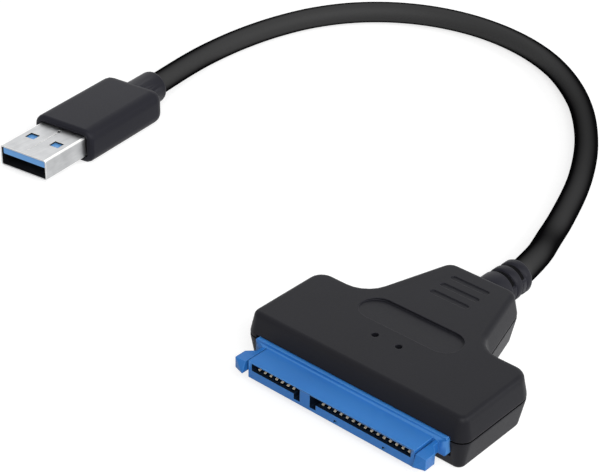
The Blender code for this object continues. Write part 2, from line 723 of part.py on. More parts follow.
def build_board():
    """The circuit board, with a hole for each locating pin."""
    low = (-BOARD_HALF, BOARD_Y, BOARD_BOTTOM)
    board = box("circuit_board", low, (BOARD_HALF, BOARD_Y + BOARD_DEPTH, BOARD_TOP))
    place(board, green, adapter)
    holes = bmesh.new()
    centre = (BOARD_BOTTOM + BOARD_TOP) / 2
    for x, y in post_places():
        length = BOARD_THICKNESS + 2 * OVERCUT
        add_cylinder(holes, (x, y, centre), PIN_DIAMETER + 2 * SNUG, length, sides=12)
    combine(board, "DIFFERENCE", tool(mesh_object("board_holes", holes), adapter))


def on_board(name, size, middle, material):
    """A rectangular part on the board, placed by its middle: x, and how far back from the front edge."""
    x, y = middle[0], BOARD_Y + middle[1]
    low = (x - size[0] / 2, y - size[1] / 2, PART_HEIGHT)
    high = (x + size[0] / 2, y + size[1] / 2, PART_HEIGHT + size[2])
    place(box(name, low, high, CHIP_ROUND), material, adapter)


def build_board_parts():
    """The bridge chip, its memory, crystal and supply, and the two lamps under the holes."""
    on_board("bridge_chip", CHIP_SIZE, CHIP_PLACE, black)
    on_board("memory_chip", MEMORY_SIZE, MEMORY_PLACE, black)
    on_board("crystal", CRYSTAL_SIZE, CRYSTAL_PLACE, steel)
    on_board("voltage_regulator", REGULATOR_SIZE, REGULATOR_PLACE, black)
    for i, middle in enumerate(CAPACITOR_PLACES):
        on_board(f"capacitor_{i + 1}", CAPACITOR_SIZE, middle, ceramic)
    lamp_back = FRONT_Y + LAMP_SETBACK - BOARD_Y
    on_board("power_lamp", LAMP_SIZE, (-LAMP_SPACING / 2, lamp_back), lens)
    on_board("activity_lamp", LAMP_SIZE, (LAMP_SPACING / 2, lamp_back), lens)
    centre = (INDUCTOR_PLACE[0], BOARD_Y + INDUCTOR_PLACE[1], PART_HEIGHT + INDUCTOR_HEIGHT / 2)
    place(cylinder("inductor", centre, INDUCTOR_DIAMETER, INDUCTOR_HEIGHT), black, adapter)


def build_boot():
    """The strain relief: a turned rubber sleeve with a flange in the housing and ribbed rings outside."""
    bore = CABLE_DIAMETER / 2 + SNUG
    flange_back = BOOT_FLANGE_Y + BOOT_FLANGE
    outer = [
        (BOOT_FLANGE_DIAMETER / 2, BOOT_FLANGE_Y),
        (BOOT_FLANGE_DIAMETER / 2, flange_back),
        (BOOT_WAIST_DIAMETER / 2, flange_back),
        (BOOT_WAIST_DIAMETER / 2, BOOT_START_Y),
    ]
    start = BOOT_START_Y
    for ring in range(BOOT_RINGS):
        share = ring / (BOOT_RINGS - 1)
        radius = (BOOT_BASE_DIAMETER + (BOOT_TIP_DIAMETER - BOOT_BASE_DIAMETER) * share) / 2
        length = BOOT_FIRST_RING if ring == 0 else BOOT_RING
        end = start + length
        outer.append((radius, start))
        if ring == BOOT_RINGS - 1:
            outer += [(radius, end - BOOT_END_ROUND), (radius - BOOT_END_ROUND, end)]
        else:
            outer += [(radius, end), (BOOT_GROOVE_DIAMETER / 2, end)]
            outer.append((BOOT_GROOVE_DIAMETER / 2, end + BOOT_GROOVE))
        start = end + BOOT_GROOVE
    profile = [(bore, BOOT_END_Y), (bore, BOOT_FLANGE_Y)] + outer
    bm = bmesh.new()
    ring_of_points = [bm.verts.new((radius, 0.0, -y)) for radius, y in profile]
    for i, vertex in enumerate(ring_of_points):
        bm.edges.new((vertex, ring_of_points[(i + 1) % len(ring_of_points)]))
    mesh = bpy.data.meshes.new("strain_relief")
    bm.to_mesh(mesh)
    bm.free()
    boot = place(bpy.data.objects.new("strain_relief", mesh), rubber, adapter)
    boot.location.z = CABLE_AXIS_HEIGHT
    boot.rotation_euler.x = math.radians(90)
    screw = boot.modifiers.new("turned", "SCREW")
    screw.steps = 24
    screw.render_steps = 24
    screw.use_merge_vertices = True
    screw.merge_threshold = 0.00001


def plug_to_adapter(point):
    """A point in the plug's own frame, seen from the housing's frame."""
    across, along, height = point
    x = PLUG_MOUTH[0] + across * math.cos(PLUG_TURN) - along * math.sin(PLUG_TURN)
    y = PLUG_MOUTH[1] + across * math.sin(PLUG_TURN) + along * math.cos(PLUG_TURN)
    return Vector((x, y, PLUG_HEIGHT_OVER_FLOOR + height))


def cable_route():
    """Points that the cable's axis passes through: straight in the sleeve and in the plug, free between."""
    axis = CABLE_AXIS_HEIGHT
    ends = (CABLE_START_Y, HOUSING_BACK_Y, BOOT_END_Y, BOOT_END_Y + GAP)
    route = [Vector((0, y, axis)) for y in ends]
    route += [Vector(point) * MM for point in ROUTE]
    inside = (COLLAR_END + GAP, COLLAR_END, COLLAR_START, CABLE_STOP)
    return route + [plug_to_adapter((0, along, 0)) for along in inside]


def smooth_points(route, step):
    """Points at about an even step along a smooth curve through a route (centripetal Catmull-Rom)."""
    points = [route[0].copy()]
    for i in range(len(route) - 1):
        start, end = route[i], route[i + 1]
        before = route[i - 1] if i else 2 * start - end
        after = route[i + 2] if i + 2 < len(route) else 2 * end - start
        marks = [0.0]
        for a, b in ((before, start), (start, end), (end, after)):
            marks.append(marks[-1] + max((b - a).length, 0.01 * MM) ** 0.5)
        pieces = max(1, round((end - start).length / step))
        for piece in range(1, pieces + 1):
            share = piece / pieces
            t = marks[1] + (marks[2] - marks[1]) * share
            row = (before, start, end, after)
            for level in (1, 2):
                row = [
                    row[k].lerp(row[k + 1], (t - marks[k]) / (marks[k + level] - marks[k]))
                    for k in range(len(row) - 1)
                ]
            points.append(row[0].lerp(row[1], share))
    return points


def tube(name, points, diameter, resolution, material):
    """A round tube with closed ends along a line of points."""
    curve = bpy.data.curves.new(name, "CURVE")
    curve.dimensions = "3D"
    curve.bevel_depth = diameter / 2
    curve.bevel_resolution = resolution
    curve.use_fill_caps = True
    spline = curve.splines.new("POLY")
    spline.points.add(len(points) - 1)
    for point, co in zip(spline.points, points):
        point.co = (*co, 1.0)
    spline.use_smooth = True
    obj = bpy.data.objects.new(name, curve)
    parts.objects.link(obj)
    obj.parent = adapter
    curve.materials.append(material)
    return obj


def build_cable():
    """The round cable from inside the neck to inside the plug."""
    tube("cable", smooth_points(cable_route(), CABLE_STEP), CABLE_DIAMETER, CABLE_SIDES, rubber)


def build_wires():
    """The cable's cores, fanned out from its cut end to the board's back edge."""
    start = CABLE_START_Y - GAP
    end = BOARD_Y + BOARD_DEPTH - WIRE_DIAMETER
    height = PART_HEIGHT + WIRE_DIAMETER / 2
    middle = (len(WIRE_NAMES) - 1) / 2
    for i, name in enumerate(WIRE_NAMES):
        offset = i - middle
        lift = WIRE_BUNDLE / 2 if i % 2 else -WIRE_BUNDLE / 2
        points = [
            Vector((offset * WIRE_BUNDLE, start, CABLE_AXIS_HEIGHT + lift)),
            Vector((offset * WIRE_BUNDLE, start - WIRE_BUNDLE, CABLE_AXIS_HEIGHT + lift)),
            Vector((offset * WIRE_FAN, end + WIRE_LEVEL_RUN, height)),
            Vector((offset * WIRE_FAN, end, height)),
        ]
        tube(f"wire_{name}", smooth_points(points, WIRE_STEP), WIRE_DIAMETER, 1, wire_colours[name])


def rectangle(half_width, half_height, radius):
    """The outline of a rectangle with rounded corners, centred on the origin."""
    return rounded_outline(
        [
            (half_width, -half_height, radius),
            (half_width, half_height, radius),
            (-half_width, half_height, radius),
            (-half_width, -half_height, radius),
        ],
        math.radians(30),
    )


def build_usb_shell():
    """The folded metal mouth of the plug, with two square windows above and two below."""
    half_width, half_height = PLUG_WIDTH / 2, PLUG_HEIGHT / 2
    length = PLUG_EXPOSED + PLUG_BURIED
    shell = lengthwise_plate("usb_shell", rectangle(half_width, half_height, PLUG_CORNER), 0, length)
    place(shell, steel, plug)
    inner = rectangle(half_width - PLUG_SHEET, half_height - PLUG_SHEET, PLUG_CORNER - PLUG_SHEET)
    bore = lengthwise_plate("usb_bore", inner, -OVERCUT, length + OVERCUT)
    combine(shell, "DIFFERENCE", tool(bore, plug))
    windows = bmesh.new()
    for side in (-1, 1):
        x = side * WINDOW_SPACING / 2
        low = (x - WINDOW_WIDTH / 2, WINDOW_SETBACK - WINDOW_LENGTH / 2, -PLUG_HEIGHT)
        add_box(windows, low, (x + WINDOW_WIDTH / 2, WINDOW_SETBACK + WINDOW_LENGTH / 2, PLUG_HEIGHT))
    combine(shell, "DIFFERENCE", tool(mesh_object("usb_windows", windows), plug))


def build_usb_tongue():
    """The blue insulator: a tongue under the roof of the mouth and a block that fills the back."""
    half = PLUG_WIDTH / 2 - PLUG_SHEET - SNUG
    top = PLUG_HEIGHT / 2 - PLUG_SHEET - SNUG
    low = top - TONGUE_THICKNESS
    tongue = box("usb_tongue", (-half, TONGUE_SETBACK, low), (half, PLUG_EXPOSED + PLUG_BURIED - SNUG, top))
    place(tongue, blue, plug)
    block_low = (-half + SNUG, TONGUE_SETBACK + TONGUE_LENGTH, -top)
    block_high = (half - SNUG, PLUG_EXPOSED + PLUG_BURIED - GAP, top - SNUG)
    combine(tongue, "UNION", tool(box("tongue_block", block_low, block_high), plug))
    grooves = bmesh.new()
    for places, size, setback in (
        (PLUG_BLADE_PLACES, PLUG_BLADE, PLUG_BLADE_SETBACK),
        (PLUG_SPRING_PLACES, PLUG_SPRING, PLUG_SPRING_SETBACK),
    ):
        for x in places:
            half_width = size[0] / 2 + SNUG
            groove_low = (x - half_width, setback - SNUG, low - OVERCUT)
            groove_high = (x + half_width, setback + size[1] + SNUG, low + size[2] + SNUG)
            add_box(grooves, groove_low, groove_high)
    combine(tongue, "DIFFERENCE", tool(mesh_object("tongue_grooves", grooves), plug))


def build_usb_contacts():
    """Four flat contacts near the mouth and five raised ones behind them, in the tongue's underside."""
    under = PLUG_HEIGHT / 2 - PLUG_SHEET - SNUG - TONGUE_THICKNESS
    width, length, thickness = PLUG_BLADE
    for i, x in enumerate(PLUG_BLADE_PLACES):
        low = (x - width / 2, PLUG_BLADE_SETBACK, under)
        high = (x + width / 2, PLUG_BLADE_SETBACK + length, under + thickness)
        place(box(f"usb_contact_{i + 1}", low, high), gold, plug)
    width, length, thickness = PLUG_SPRING
    level = under + thickness / 2
    rise, crest, fall = (PLUG_SPRING_SETBACK + bend for bend in PLUG_SPRING_BENDS)
    for i, x in enumerate(PLUG_SPRING_PLACES):
        path = [
            (PLUG_SPRING_SETBACK, level),
            (rise, level),
            (crest, level - PLUG_SPRING_RISE),
            (fall, level - PLUG_SPRING_RISE),
            (PLUG_SPRING_SETBACK + length, level),
        ]
        place(bent_strip(f"usb_fast_contact_{i + 1}", path, thickness, width, x), gold, plug)


def build_usb_grip():
    """The plug's moulded grip with its round collar, a pocket for the mouth and a bore for the cable."""
    width, length, height = GRIP_BODY
    bm = bmesh.new()
    add_box(bm, (-width / 2, GRIP_BODY_SETBACK, -height / 2), (width / 2, COLLAR_START, height / 2))
    middle = GRIP_BODY_SETBACK + length / 2
    long_edges = [e for e in bm.edges if abs(e.verts[0].co.y - e.verts[1].co.y) > length / 2]
    back_edges = [e for e in bm.edges if min(v.co.y for v in e.verts) > middle]
    bmesh.ops.bevel(
        bm,
        geom=long_edges + back_edges,
        offset=GRIP_BODY_ROUND,
        segments=5,
        profile=0.5,
        affect="EDGES",
    )
    front_edges = [e for e in bm.edges if max(v.co.y for v in e.verts) < GRIP_BODY_SETBACK + 0.01 * MM]
    bmesh.ops.bevel(bm, geom=front_edges, offset=GRIP_BODY_NOSE, segments=3, profile=0.5, affect="EDGES")
    grip = place(mesh_object("usb_grip", bm), charcoal, plug)
    collar = bmesh.new()
    start = COLLAR_START - GRIP_BODY_ROUND
    add_cylinder(
        collar, (0, (start + COLLAR_END) / 2, 0), COLLAR_DIAMETER - SNUG, COLLAR_END - start, "Y", 28
    )
    end_edges = [e for e in collar.edges if min(v.co.y for v in e.verts) > COLLAR_END - 0.01 * MM]
    bmesh.ops.bevel(collar, geom=end_edges, offset=COLLAR_ROUND, segments=3, profile=0.5, affect="EDGES")
    combine(grip, "UNION", tool(mesh_object("collar", collar), plug))
    pocket_outline = rectangle(PLUG_WIDTH / 2 + GAP, PLUG_HEIGHT / 2 + GAP, PLUG_CORNER + GAP)
    pocket_start = GRIP_BODY_SETBACK - OVERCUT
    pocket_end = GRIP_BODY_SETBACK + POCKET_DEPTH
    pocket = lengthwise_plate("plug_pocket", pocket_outline, pocket_start, pocket_end)
    combine(grip, "DIFFERENCE", tool(pocket, plug))
    bore_start = pocket_end - OVERCUT
    bore_end = COLLAR_END + OVERCUT
    centre = (0, (bore_start + bore_end) / 2, 0)
    bore = cylinder("cable_bore", centre, CABLE_DIAMETER + 2 * SNUG, bore_end - bore_start, "Y", 20)
    combine(grip, "DIFFERENCE", tool(bore, plug))


clear_scene()
parts = new_collection("usb_to_sata_adapter")
helpers = new_collection("cutters")

charcoal = new_material("charcoal_plastic", (0.032, 0.032, 0.036), 0.42)
blue = new_material("blue_plastic", (0.035, 0.2, 0.56), 0.38)
gold = new_material("gold_plating", (0.83, 0.62, 0.28), 0.25, 1.0)
steel = new_material("nickel_steel", (0.6, 0.6, 0.58), 0.25, 1.0)
rubber = new_material("cable_rubber", (0.012, 0.012, 0.013), 0.45)
green = new_material("board_green", (0.02, 0.16, 0.07), 0.4)
black = new_material("chip_black", (0.015, 0.015, 0.016), 0.5)
ceramic = new_material("capacitor_ceramic", (0.42, 0.3, 0.2), 0.5)
lens = new_material("lamp_lens", (0.75, 0.78, 0.74), 0.2)
wire_colours = {
    "red": new_material("wire_red", (0.55, 0.02, 0.02), 0.5),
    "white": new_material("wire_white", (0.7, 0.7, 0.68), 0.5),
    "green": new_material("wire_green", (0.02, 0.3, 0.05), 0.5),
    "blue": new_material("wire_blue", (0.03, 0.1, 0.5), 0.5),
    "black": new_material("wire_black", (0.02, 0.02, 0.02), 0.5),
}

adapter = new_frame("adapter_frame", (0, -ORIGIN_Y, 0))
plug_place = (PLUG_MOUTH[0], PLUG_MOUTH[1] - ORIGIN_Y, PLUG_HEIGHT_OVER_FLOOR)
plug = new_frame("plug_frame", plug_place, PLUG_TURN)

build_lower_shell()
build_upper_shell()
build_sata_body()
build_contacts()
build_board()
build_board_parts()
build_boot()
build_cable()
build_wires()
build_usb_shell()
build_usb_tongue()
build_usb_contacts()
build_usb_grip()
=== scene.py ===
"""The look of a USB to SATA adapter: black housing, blue drive socket, round cable and USB plug.

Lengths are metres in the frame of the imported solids: +Y from the drive socket to the cable, +Z up.
Sizes inside the classes are millimetres, measured from the socket's mating face or the plug's mouth.
"""

from __future__ import annotations

import json
import logging
import math
from collections.abc import Callable, Iterable, Sequence
from dataclasses import dataclass, field
from enum import Enum

import bpy
from mathutils import Matrix, Vector

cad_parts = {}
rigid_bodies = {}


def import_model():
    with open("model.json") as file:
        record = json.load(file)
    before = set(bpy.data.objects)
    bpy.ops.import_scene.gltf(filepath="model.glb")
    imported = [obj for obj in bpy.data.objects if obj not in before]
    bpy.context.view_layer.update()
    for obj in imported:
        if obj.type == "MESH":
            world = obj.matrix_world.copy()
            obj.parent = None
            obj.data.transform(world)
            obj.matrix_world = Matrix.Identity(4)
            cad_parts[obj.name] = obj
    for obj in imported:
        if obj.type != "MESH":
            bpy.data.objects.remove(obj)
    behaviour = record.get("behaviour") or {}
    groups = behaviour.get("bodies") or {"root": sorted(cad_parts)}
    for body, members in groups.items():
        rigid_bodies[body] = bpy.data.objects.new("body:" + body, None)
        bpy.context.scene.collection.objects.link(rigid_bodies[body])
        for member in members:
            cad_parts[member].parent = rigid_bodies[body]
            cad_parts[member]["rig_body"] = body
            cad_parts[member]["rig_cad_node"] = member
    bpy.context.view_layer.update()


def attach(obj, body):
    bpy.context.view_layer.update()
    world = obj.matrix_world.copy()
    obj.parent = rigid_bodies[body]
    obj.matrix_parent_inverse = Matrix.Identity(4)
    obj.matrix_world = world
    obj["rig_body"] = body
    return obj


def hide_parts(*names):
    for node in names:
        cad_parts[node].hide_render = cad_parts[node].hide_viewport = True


LOG = logging.getLogger("adapter_look")
BODY = "root"

# One millimetre in metres, and how far the frame's origin lies behind the socket's mating face
MM = 0.001
ORIGIN_Y = 25.7

# Points nearer than this are one point, and faces that lean less than this on each other are one face
WELD_MM = 0.0005
FLAT_DEGREES = 0.5

# Edges that turn by more than this stay sharp
SMOOTH_DEGREES = 32.0

# A face whose middle is this near a height or a radius lies on it
NEAR_MM = 0.02

# The cosine between the true and the softened surface, where an edge begins and where it is full
EDGE_BEGINS = 0.995
EDGE_FULL = 0.85
EDGE_SAMPLES = 6

Point = tuple[float, float, float]
Pair = tuple[float, float]
Rule = Callable[[Vector], bool]


class Slot(Enum):
    """Names of the record's material slots."""

    CHARCOAL = "charcoal_plastic"
    BLUE = "blue_plastic"
    NICKEL = "nickel_steel"
    RUBBER = "cable_rubber"


def housing_point(x: float, y: float, z: float) -> Vector:
    """Turns a place in the housing's millimetres into the frame's metres.

    Args:
        x: Millimetres across, to the right.
        y: Millimetres back from the drive socket's mating face.
        z: Millimetres over the surface.

    Returns:
        The place in metres.
    """
    return Vector((x, y - ORIGIN_Y, z)) * MM


# Colour and nodes


def linear(code: str) -> tuple[float, float, float, float]:
    """Turns an sRGB hex code into a linear colour.

    Args:
        code: Six hex digits, with or without a leading hash.

    Returns:
        Linear red, green and blue, and an alpha of one.
    """
    code = code.lstrip("#")
    parts = [int(code[i : i + 2], 16) / 255 for i in (0, 2, 4)]
    red, green, blue = (p / 12.92 if p <= 0.04045 else ((p + 0.055) / 1.055) ** 2.4 for p in parts)
    return red, green, blue, 1.0


def add_node(
    tree: bpy.types.NodeTree,
    kind: str,
    name: str,
    values: dict[str | int, object] | None = None,
    links: dict[str | int, bpy.types.NodeSocket] | None = None,
    **settings: object,
) -> bpy.types.Node:
    """Adds a node with its settings, values and incoming links.

    Args:
        tree: The node tree.
        kind: The node's Blender type.
        name: What the node does for the eye.
        values: Input values by socket name or number.
        links: Output sockets to join, by input name or number.
        **settings: Attributes of the node itself.

    Returns:
        The new node.
    """
    node = tree.nodes.new(kind)
    node.name = node.label = name
    for key, value in settings.items():
        setattr(node, key, value)
    for key, value in (values or {}).items():
        node.inputs[key].default_value = value
    for key, socket in (links or {}).items():
        tree.links.new(socket, node.inputs[key])
    return node


@dataclass(frozen=True)
class Finish:
    """A named finish. Each kind of finish adds its own nodes in shader()."""

    name: str

    def build(self) -> bpy.types.Material:
        """Makes the material, if it isn't there yet.

        Returns:
            The material.
        """
        found = bpy.data.materials.get(self.name)
        if found:
            return found
        material = bpy.data.materials.new(self.name)
        material.use_nodes = True
        tree = material.node_tree
        tree.nodes.clear()
        surface = self.shader(tree)
        add_node(tree, "ShaderNodeOutputMaterial", "surface", links={"Surface": surface})
        return material

    def shader(self, tree: bpy.types.NodeTree) -> bpy.types.NodeSocket:
        """Adds the finish's nodes and returns the shader's output."""
        raise NotImplementedError

    @staticmethod
    def place(
        tree: bpy.types.NodeTree, turn: float = 0.0, scale: Point = (1.0, 1.0, 1.0)
    ) -> bpy.types.NodeSocket:
        """Gives places on the piece, in metres, for a pattern to sit on.

        Args:
            tree: The node tree.
            turn: Degrees that the pattern is turned about the vertical.
            scale: How much the pattern is drawn together along each axis.

        Returns:
            The socket with the places.
        """
        source = add_node(tree, "ShaderNodeTexCoord", "place on the piece")
        mapping = add_node(
            tree,
            "ShaderNodeMapping",
            "pattern placed",
            {"Rotation": (0.0, 0.0, math.radians(turn)), "Scale": scale},
            {"Vector": source.outputs["Object"]},
        )
        return mapping.outputs["Vector"]


def bent_share(tree: bpy.types.NodeTree, soft: bpy.types.Node, most: float) -> bpy.types.NodeSocket:
    """Says how near a place is to an edge, which sets the share of the painted highlight there.

    Args:
        tree: The node tree.
        soft: The node that rounds the edges for the light.
        most: The value on the edge itself; it is zero on flat faces.

    Returns:
        The socket with the share.
    """
    flat = add_node(tree, "ShaderNodeNewGeometry", "true surface")
    lean = add_node(
        tree,
        "ShaderNodeVectorMath",
        "how near an edge",
        links={0: flat.outputs["True Normal"], 1: soft.outputs["Normal"]},
        operation="DOT_PRODUCT",
    )
    share = add_node(
        tree,
        "ShaderNodeMapRange",
        "rubbed edge",
        {"From Min": EDGE_BEGINS, "From Max": EDGE_FULL, "To Min": 0.0, "To Max": most},
        {"Value": lean.outputs["Value"]},
    )
    return share.outputs["Result"]


@dataclass(frozen=True)
class MouldedPlastic(Finish):
    """Injection-moulded plastic: spark-eroded grain, soft mottling, and a painted highlight that makes
    the edges a little paler.
    """

    colour: str
    mottle_colour: str
    highlight_colour: str
    roughness: float
    grain_mm: float = 0.32
    grain_height_mm: float = 0.012
    edge_mm: float = 0.22
    ior: float = 1.5
    shine: float = 0.5
    glow: float = 0.0
    glow_mm: Point = (0.3, 0.6, 1.2)
    flow_mm: float = 12.0
    relief: float = 0.6
    edge_highlight: float = 0.7
    sheen_spread: Pair = (-0.05, 0.07)

    def shader(self, tree: bpy.types.NodeTree) -> bpy.types.NodeSocket:
        """Adds grain, mottling, softened edges and the plastic itself.

        Args:
            tree: The material's node tree.

        Returns:
            The shader's output.
        """
        place = self.place(tree)
        # The tool's grain is 0.05 mm in life; it is drawn coarser, so that it shows as a satin speckle
        grain = add_node(
            tree,
            "ShaderNodeTexNoise",
            "moulding grain",
            {"Scale": 1 / (self.grain_mm * MM), "Detail": 2.0, "Roughness": 0.6},
            {"Vector": place},
        )
        # Slow changes of tone, as the plastic flowed
        flow = add_node(
            tree,
            "ShaderNodeTexNoise",
            "flow mottling",
            {"Scale": 1 / (self.flow_mm * MM), "Detail": 3.0, "Roughness": 0.5},
            {"Vector": place},
        )
        # Edges are rounded for the light only, so that each one catches a thin line of it
        soft = add_node(
            tree,
            "ShaderNodeBevel",
            "softened edge",
            {"Radius": self.edge_mm * MM},
            samples=EDGE_SAMPLES,
        )
        bump = add_node(
            tree,
            "ShaderNodeBump",
            "grain relief",
            {"Strength": self.relief, "Distance": self.grain_height_mm * MM},
            {"Height": grain.outputs["Fac"], "Normal": soft.outputs["Normal"]},
        )
        tone = add_node(
            tree,
            "ShaderNodeMix",
            "mottled colour",
            {6: linear(self.colour), 7: linear(self.mottle_colour)},
            {0: flow.outputs["Fac"]},
            data_type="RGBA",
        )
        # A painted highlight: the edges are mixed towards a paler colour
        colour = add_node(
            tree,
            "ShaderNodeMix",
            "colour with rubbed edges",
            {7: linear(self.highlight_colour)},
            {0: bent_share(tree, soft, self.edge_highlight), 6: tone.outputs[2]},
            data_type="RGBA",
        )
        low, high = self.sheen_spread
        gloss = add_node(
            tree,
            "ShaderNodeMapRange",
            "uneven sheen",
            {"To Min": self.roughness + low, "To Max": self.roughness + high},
            {"Value": grain.outputs["Fac"]},
        )
        plastic = add_node(
            tree,
            "ShaderNodeBsdfPrincipled",
            "plastic",
            {
                "IOR": self.ior,
                "Specular IOR Level": self.shine,
                "Subsurface Weight": self.glow,
                "Subsurface Radius": tuple(reach * MM for reach in self.glow_mm),
            },
            {
                "Base Color": colour.outputs[2],
                "Roughness": gloss.outputs["Result"],
                "Normal": bump.outputs["Normal"],
            },
        )
        return plastic.outputs["BSDF"]


@dataclass(frozen=True)
class PlatedSheet(Finish):
    """Plated metal: rolling streaks along one way, faint clouding, softened edges, and a painted
    highlight along the edges.
    """

    colour: str
    cloud_colour: str
    highlight_colour: str
    roughness: float
    turn: float = 0.0
    streak_mm: float = 0.25
    edge_mm: float = 0.1
    metallic: float = 1.0
    stretch: float = 40.0
    cloud_mm: float = 3.0
    streak_share: float = 0.6
    grey_range: Pair = (0.4, 1.25)
    relief_mm: float = 0.004
    edge_highlight: float = 0.9
    sheen_spread: Pair = (-0.06, 0.1)

    def shader(self, tree: bpy.types.NodeTree) -> bpy.types.NodeSocket:
        """Adds streaks, clouding, softened edges and the metal itself.

        Args:
            tree: The material's node tree.

        Returns:
            The shader's output.
        """
        # Rolling lines of 0.02 mm would be too fine to show, so they are drawn about ten times wider
        streaks = add_node(
            tree,
            "ShaderNodeTexNoise",
            "rolling streaks",
            {"Scale": 1 / (self.streak_mm * MM), "Detail": 3.0},
            {"Vector": self.place(tree, self.turn, (1.0, 1 / self.stretch, 1.0))},
        )
        clouds = add_node(
            tree,
            "ShaderNodeTexNoise",
            "plating clouds",
            {"Scale": 1 / (self.cloud_mm * MM), "Detail": 2.0},
            {"Vector": self.place(tree)},
        )
        soft = add_node(
            tree,
            "ShaderNodeBevel",
            "folded edge",
            {"Radius": self.edge_mm * MM},
            samples=EDGE_SAMPLES,
        )
        bump = add_node(
            tree,
            "ShaderNodeBump",
            "streak relief",
            {"Strength": 0.25, "Distance": self.relief_mm * MM},
            {"Height": streaks.outputs["Fac"], "Normal": soft.outputs["Normal"]},
        )
        # Streaks and clouds together set how grey each place is
        grey = add_node(
            tree,
            "ShaderNodeMath",
            "streaks over clouds",
            {1: self.streak_share},
            {0: streaks.outputs["Fac"], 2: clouds.outputs["Fac"]},
            operation="MULTIPLY_ADD",
        )
        bright, grey_most = self.grey_range
        share = add_node(
            tree,
            "ShaderNodeMapRange",
            "grey share",
            {"From Min": bright, "From Max": grey_most},
            {"Value": grey.outputs["Value"]},
        )
        plated = add_node(
            tree,
            "ShaderNodeMix",
            "clouded plating",
            {6: linear(self.colour), 7: linear(self.cloud_colour)},
            {0: share.outputs["Result"]},
            data_type="RGBA",
        )
        # A painted highlight: the edges are mixed towards a brighter colour
        colour = add_node(
            tree,
            "ShaderNodeMix",
            "bright folded edges",
            {7: linear(self.highlight_colour)},
            {0: bent_share(tree, soft, self.edge_highlight), 6: plated.outputs[2]},
            data_type="RGBA",
        )
        low, high = self.sheen_spread
        gloss = add_node(
            tree,
            "ShaderNodeMapRange",
            "streaked sheen",
            {"To Min": self.roughness + low, "To Max": self.roughness + high},
            {"Value": streaks.outputs["Fac"]},
        )
        metal = add_node(
            tree,
            "ShaderNodeBsdfPrincipled",
            "plated metal",
            {"Metallic": self.metallic},
            {
                "Base Color": colour.outputs[2],
                "Roughness": gloss.outputs["Result"],
                "Normal": bump.outputs["Normal"],
            },
        )
        return metal.outputs["BSDF"]


@dataclass(frozen=True)
class ExtrudedJacket(Finish):
    """Extruded soft vinyl, on a cable or a core: smooth, with a faint drag pattern in its sheen."""

    colour: str
    roughness: float
    shine: float = 0.4
    coat: float = 0.0
    coat_roughness: float = 0.75
    coat_ior: float = 2.0
    coat_band: Pair = (0.36, 0.72)
    drag_mm: float = 1.4
    relief_mm: float = 0.012
    ior: float = 1.52
    sheen_spread: Pair = (-0.05, 0.06)
    tone_spread: Pair = (0.92, 1.08)

    def shader(self, tree: bpy.types.NodeTree) -> bpy.types.NodeSocket:
        """Adds drag marks, the band of gloss and the vinyl itself.

        Args:
            tree: The material's node tree.

        Returns:
            The shader's output.
        """
        place = self.place(tree)
        drag = add_node(
            tree,
            "ShaderNodeTexNoise",
            "die drag",
            {"Scale": 1 / (self.drag_mm * MM), "Detail": 2.0, "Roughness": 0.4},
            {"Vector": place},
        )
        bump = add_node(
            tree,
            "ShaderNodeBump",
            "soft waviness",
            {"Strength": 0.3, "Distance": self.relief_mm * MM},
            {"Height": drag.outputs["Fac"]},
        )
        low, high = self.sheen_spread
        gloss = add_node(
            tree,
            "ShaderNodeMapRange",
            "uneven sheen",
            {"To Min": self.roughness + low, "To Max": self.roughness + high},
            {"Value": drag.outputs["Fac"]},
        )
        dull, bright = self.tone_spread
        brightness = add_node(
            tree,
            "ShaderNodeMapRange",
            "brightness near one",
            {"To Min": dull, "To Max": bright},
            {"Value": drag.outputs["Fac"]},
        )
        tone = add_node(
            tree,
            "ShaderNodeHueSaturation",
            "slight toning",
            {"Color": linear(self.colour)},
            {"Value": brightness.outputs["Result"]},
        )
        # The gloss lies along the middle of the round jacket and fades to nothing at its rims
        facing = add_node(tree, "ShaderNodeLayerWeight", "how far it turns away", {"Blend": 0.5})
        full, gone = self.coat_band
        band = add_node(
            tree,
            "ShaderNodeMapRange",
            "band of gloss",
            {"From Min": full, "From Max": gone, "To Min": self.coat, "To Max": 0.0},
            {"Value": facing.outputs["Facing"]},
            interpolation_type="SMOOTHSTEP",
        )
        vinyl = add_node(
            tree,
            "ShaderNodeBsdfPrincipled",
            "soft vinyl",
            {
                "IOR": self.ior,
                "Specular IOR Level": self.shine,
                "Coat Roughness": self.coat_roughness,
                "Coat IOR": self.coat_ior,
            },
            {
                "Coat Weight": band.outputs["Result"],
                "Base Color": tone.outputs["Color"],
                "Roughness": gloss.outputs["Result"],
                "Normal": bump.outputs["Normal"],
            },
        )
        return vinyl.outputs["BSDF"]


@dataclass(frozen=True)
class BoardLacquer(Finish):
    """Green lacquer over copper tracks on a glass-fibre board."""

    lacquer: str
    track: str
    roughness: float
    ior: float = 1.55
    track_mm: float = 2.4
    track_share: float = 0.06

    def shader(self, tree: bpy.types.NodeTree) -> bpy.types.NodeSocket:
        """Adds the tracks that shine through the lacquer, and the board itself.

        Args:
            tree: The material's node tree.

        Returns:
            The shader's output.
        """
        dark, pale = linear("000000"), linear("FFFFFF")
        tracks = add_node(
            tree,
            "ShaderNodeTexBrick",
            "copper tracks",
            {
                "Scale": 1 / (self.track_mm * MM),
                "Mortar Size": self.track_share,
                "Color1": dark,
                "Color2": dark,
                "Mortar": pale,
            },
            {"Vector": self.place(tree)},
        )
        colour = add_node(
            tree,
            "ShaderNodeMix",
            "tracks through lacquer",
            {6: linear(self.lacquer), 7: linear(self.track)},
            {0: tracks.outputs["Color"]},
            data_type="RGBA",
        )
        board = add_node(
            tree,
            "ShaderNodeBsdfPrincipled",
            "lacquered board",
            {"Roughness": self.roughness, "IOR": self.ior},
            {"Base Color": colour.outputs[2]},
        )
        return board.outputs["BSDF"]


# ABS, moulded in a spark-eroded tool: a near-black satin, faintly speckled, with a painted highlight
# that makes its edges paler
HOUSING_ABS = MouldedPlastic("spark grained ABS", "16161A", "1A1A1F", "2A2A30", 0.46, shine=0.12)

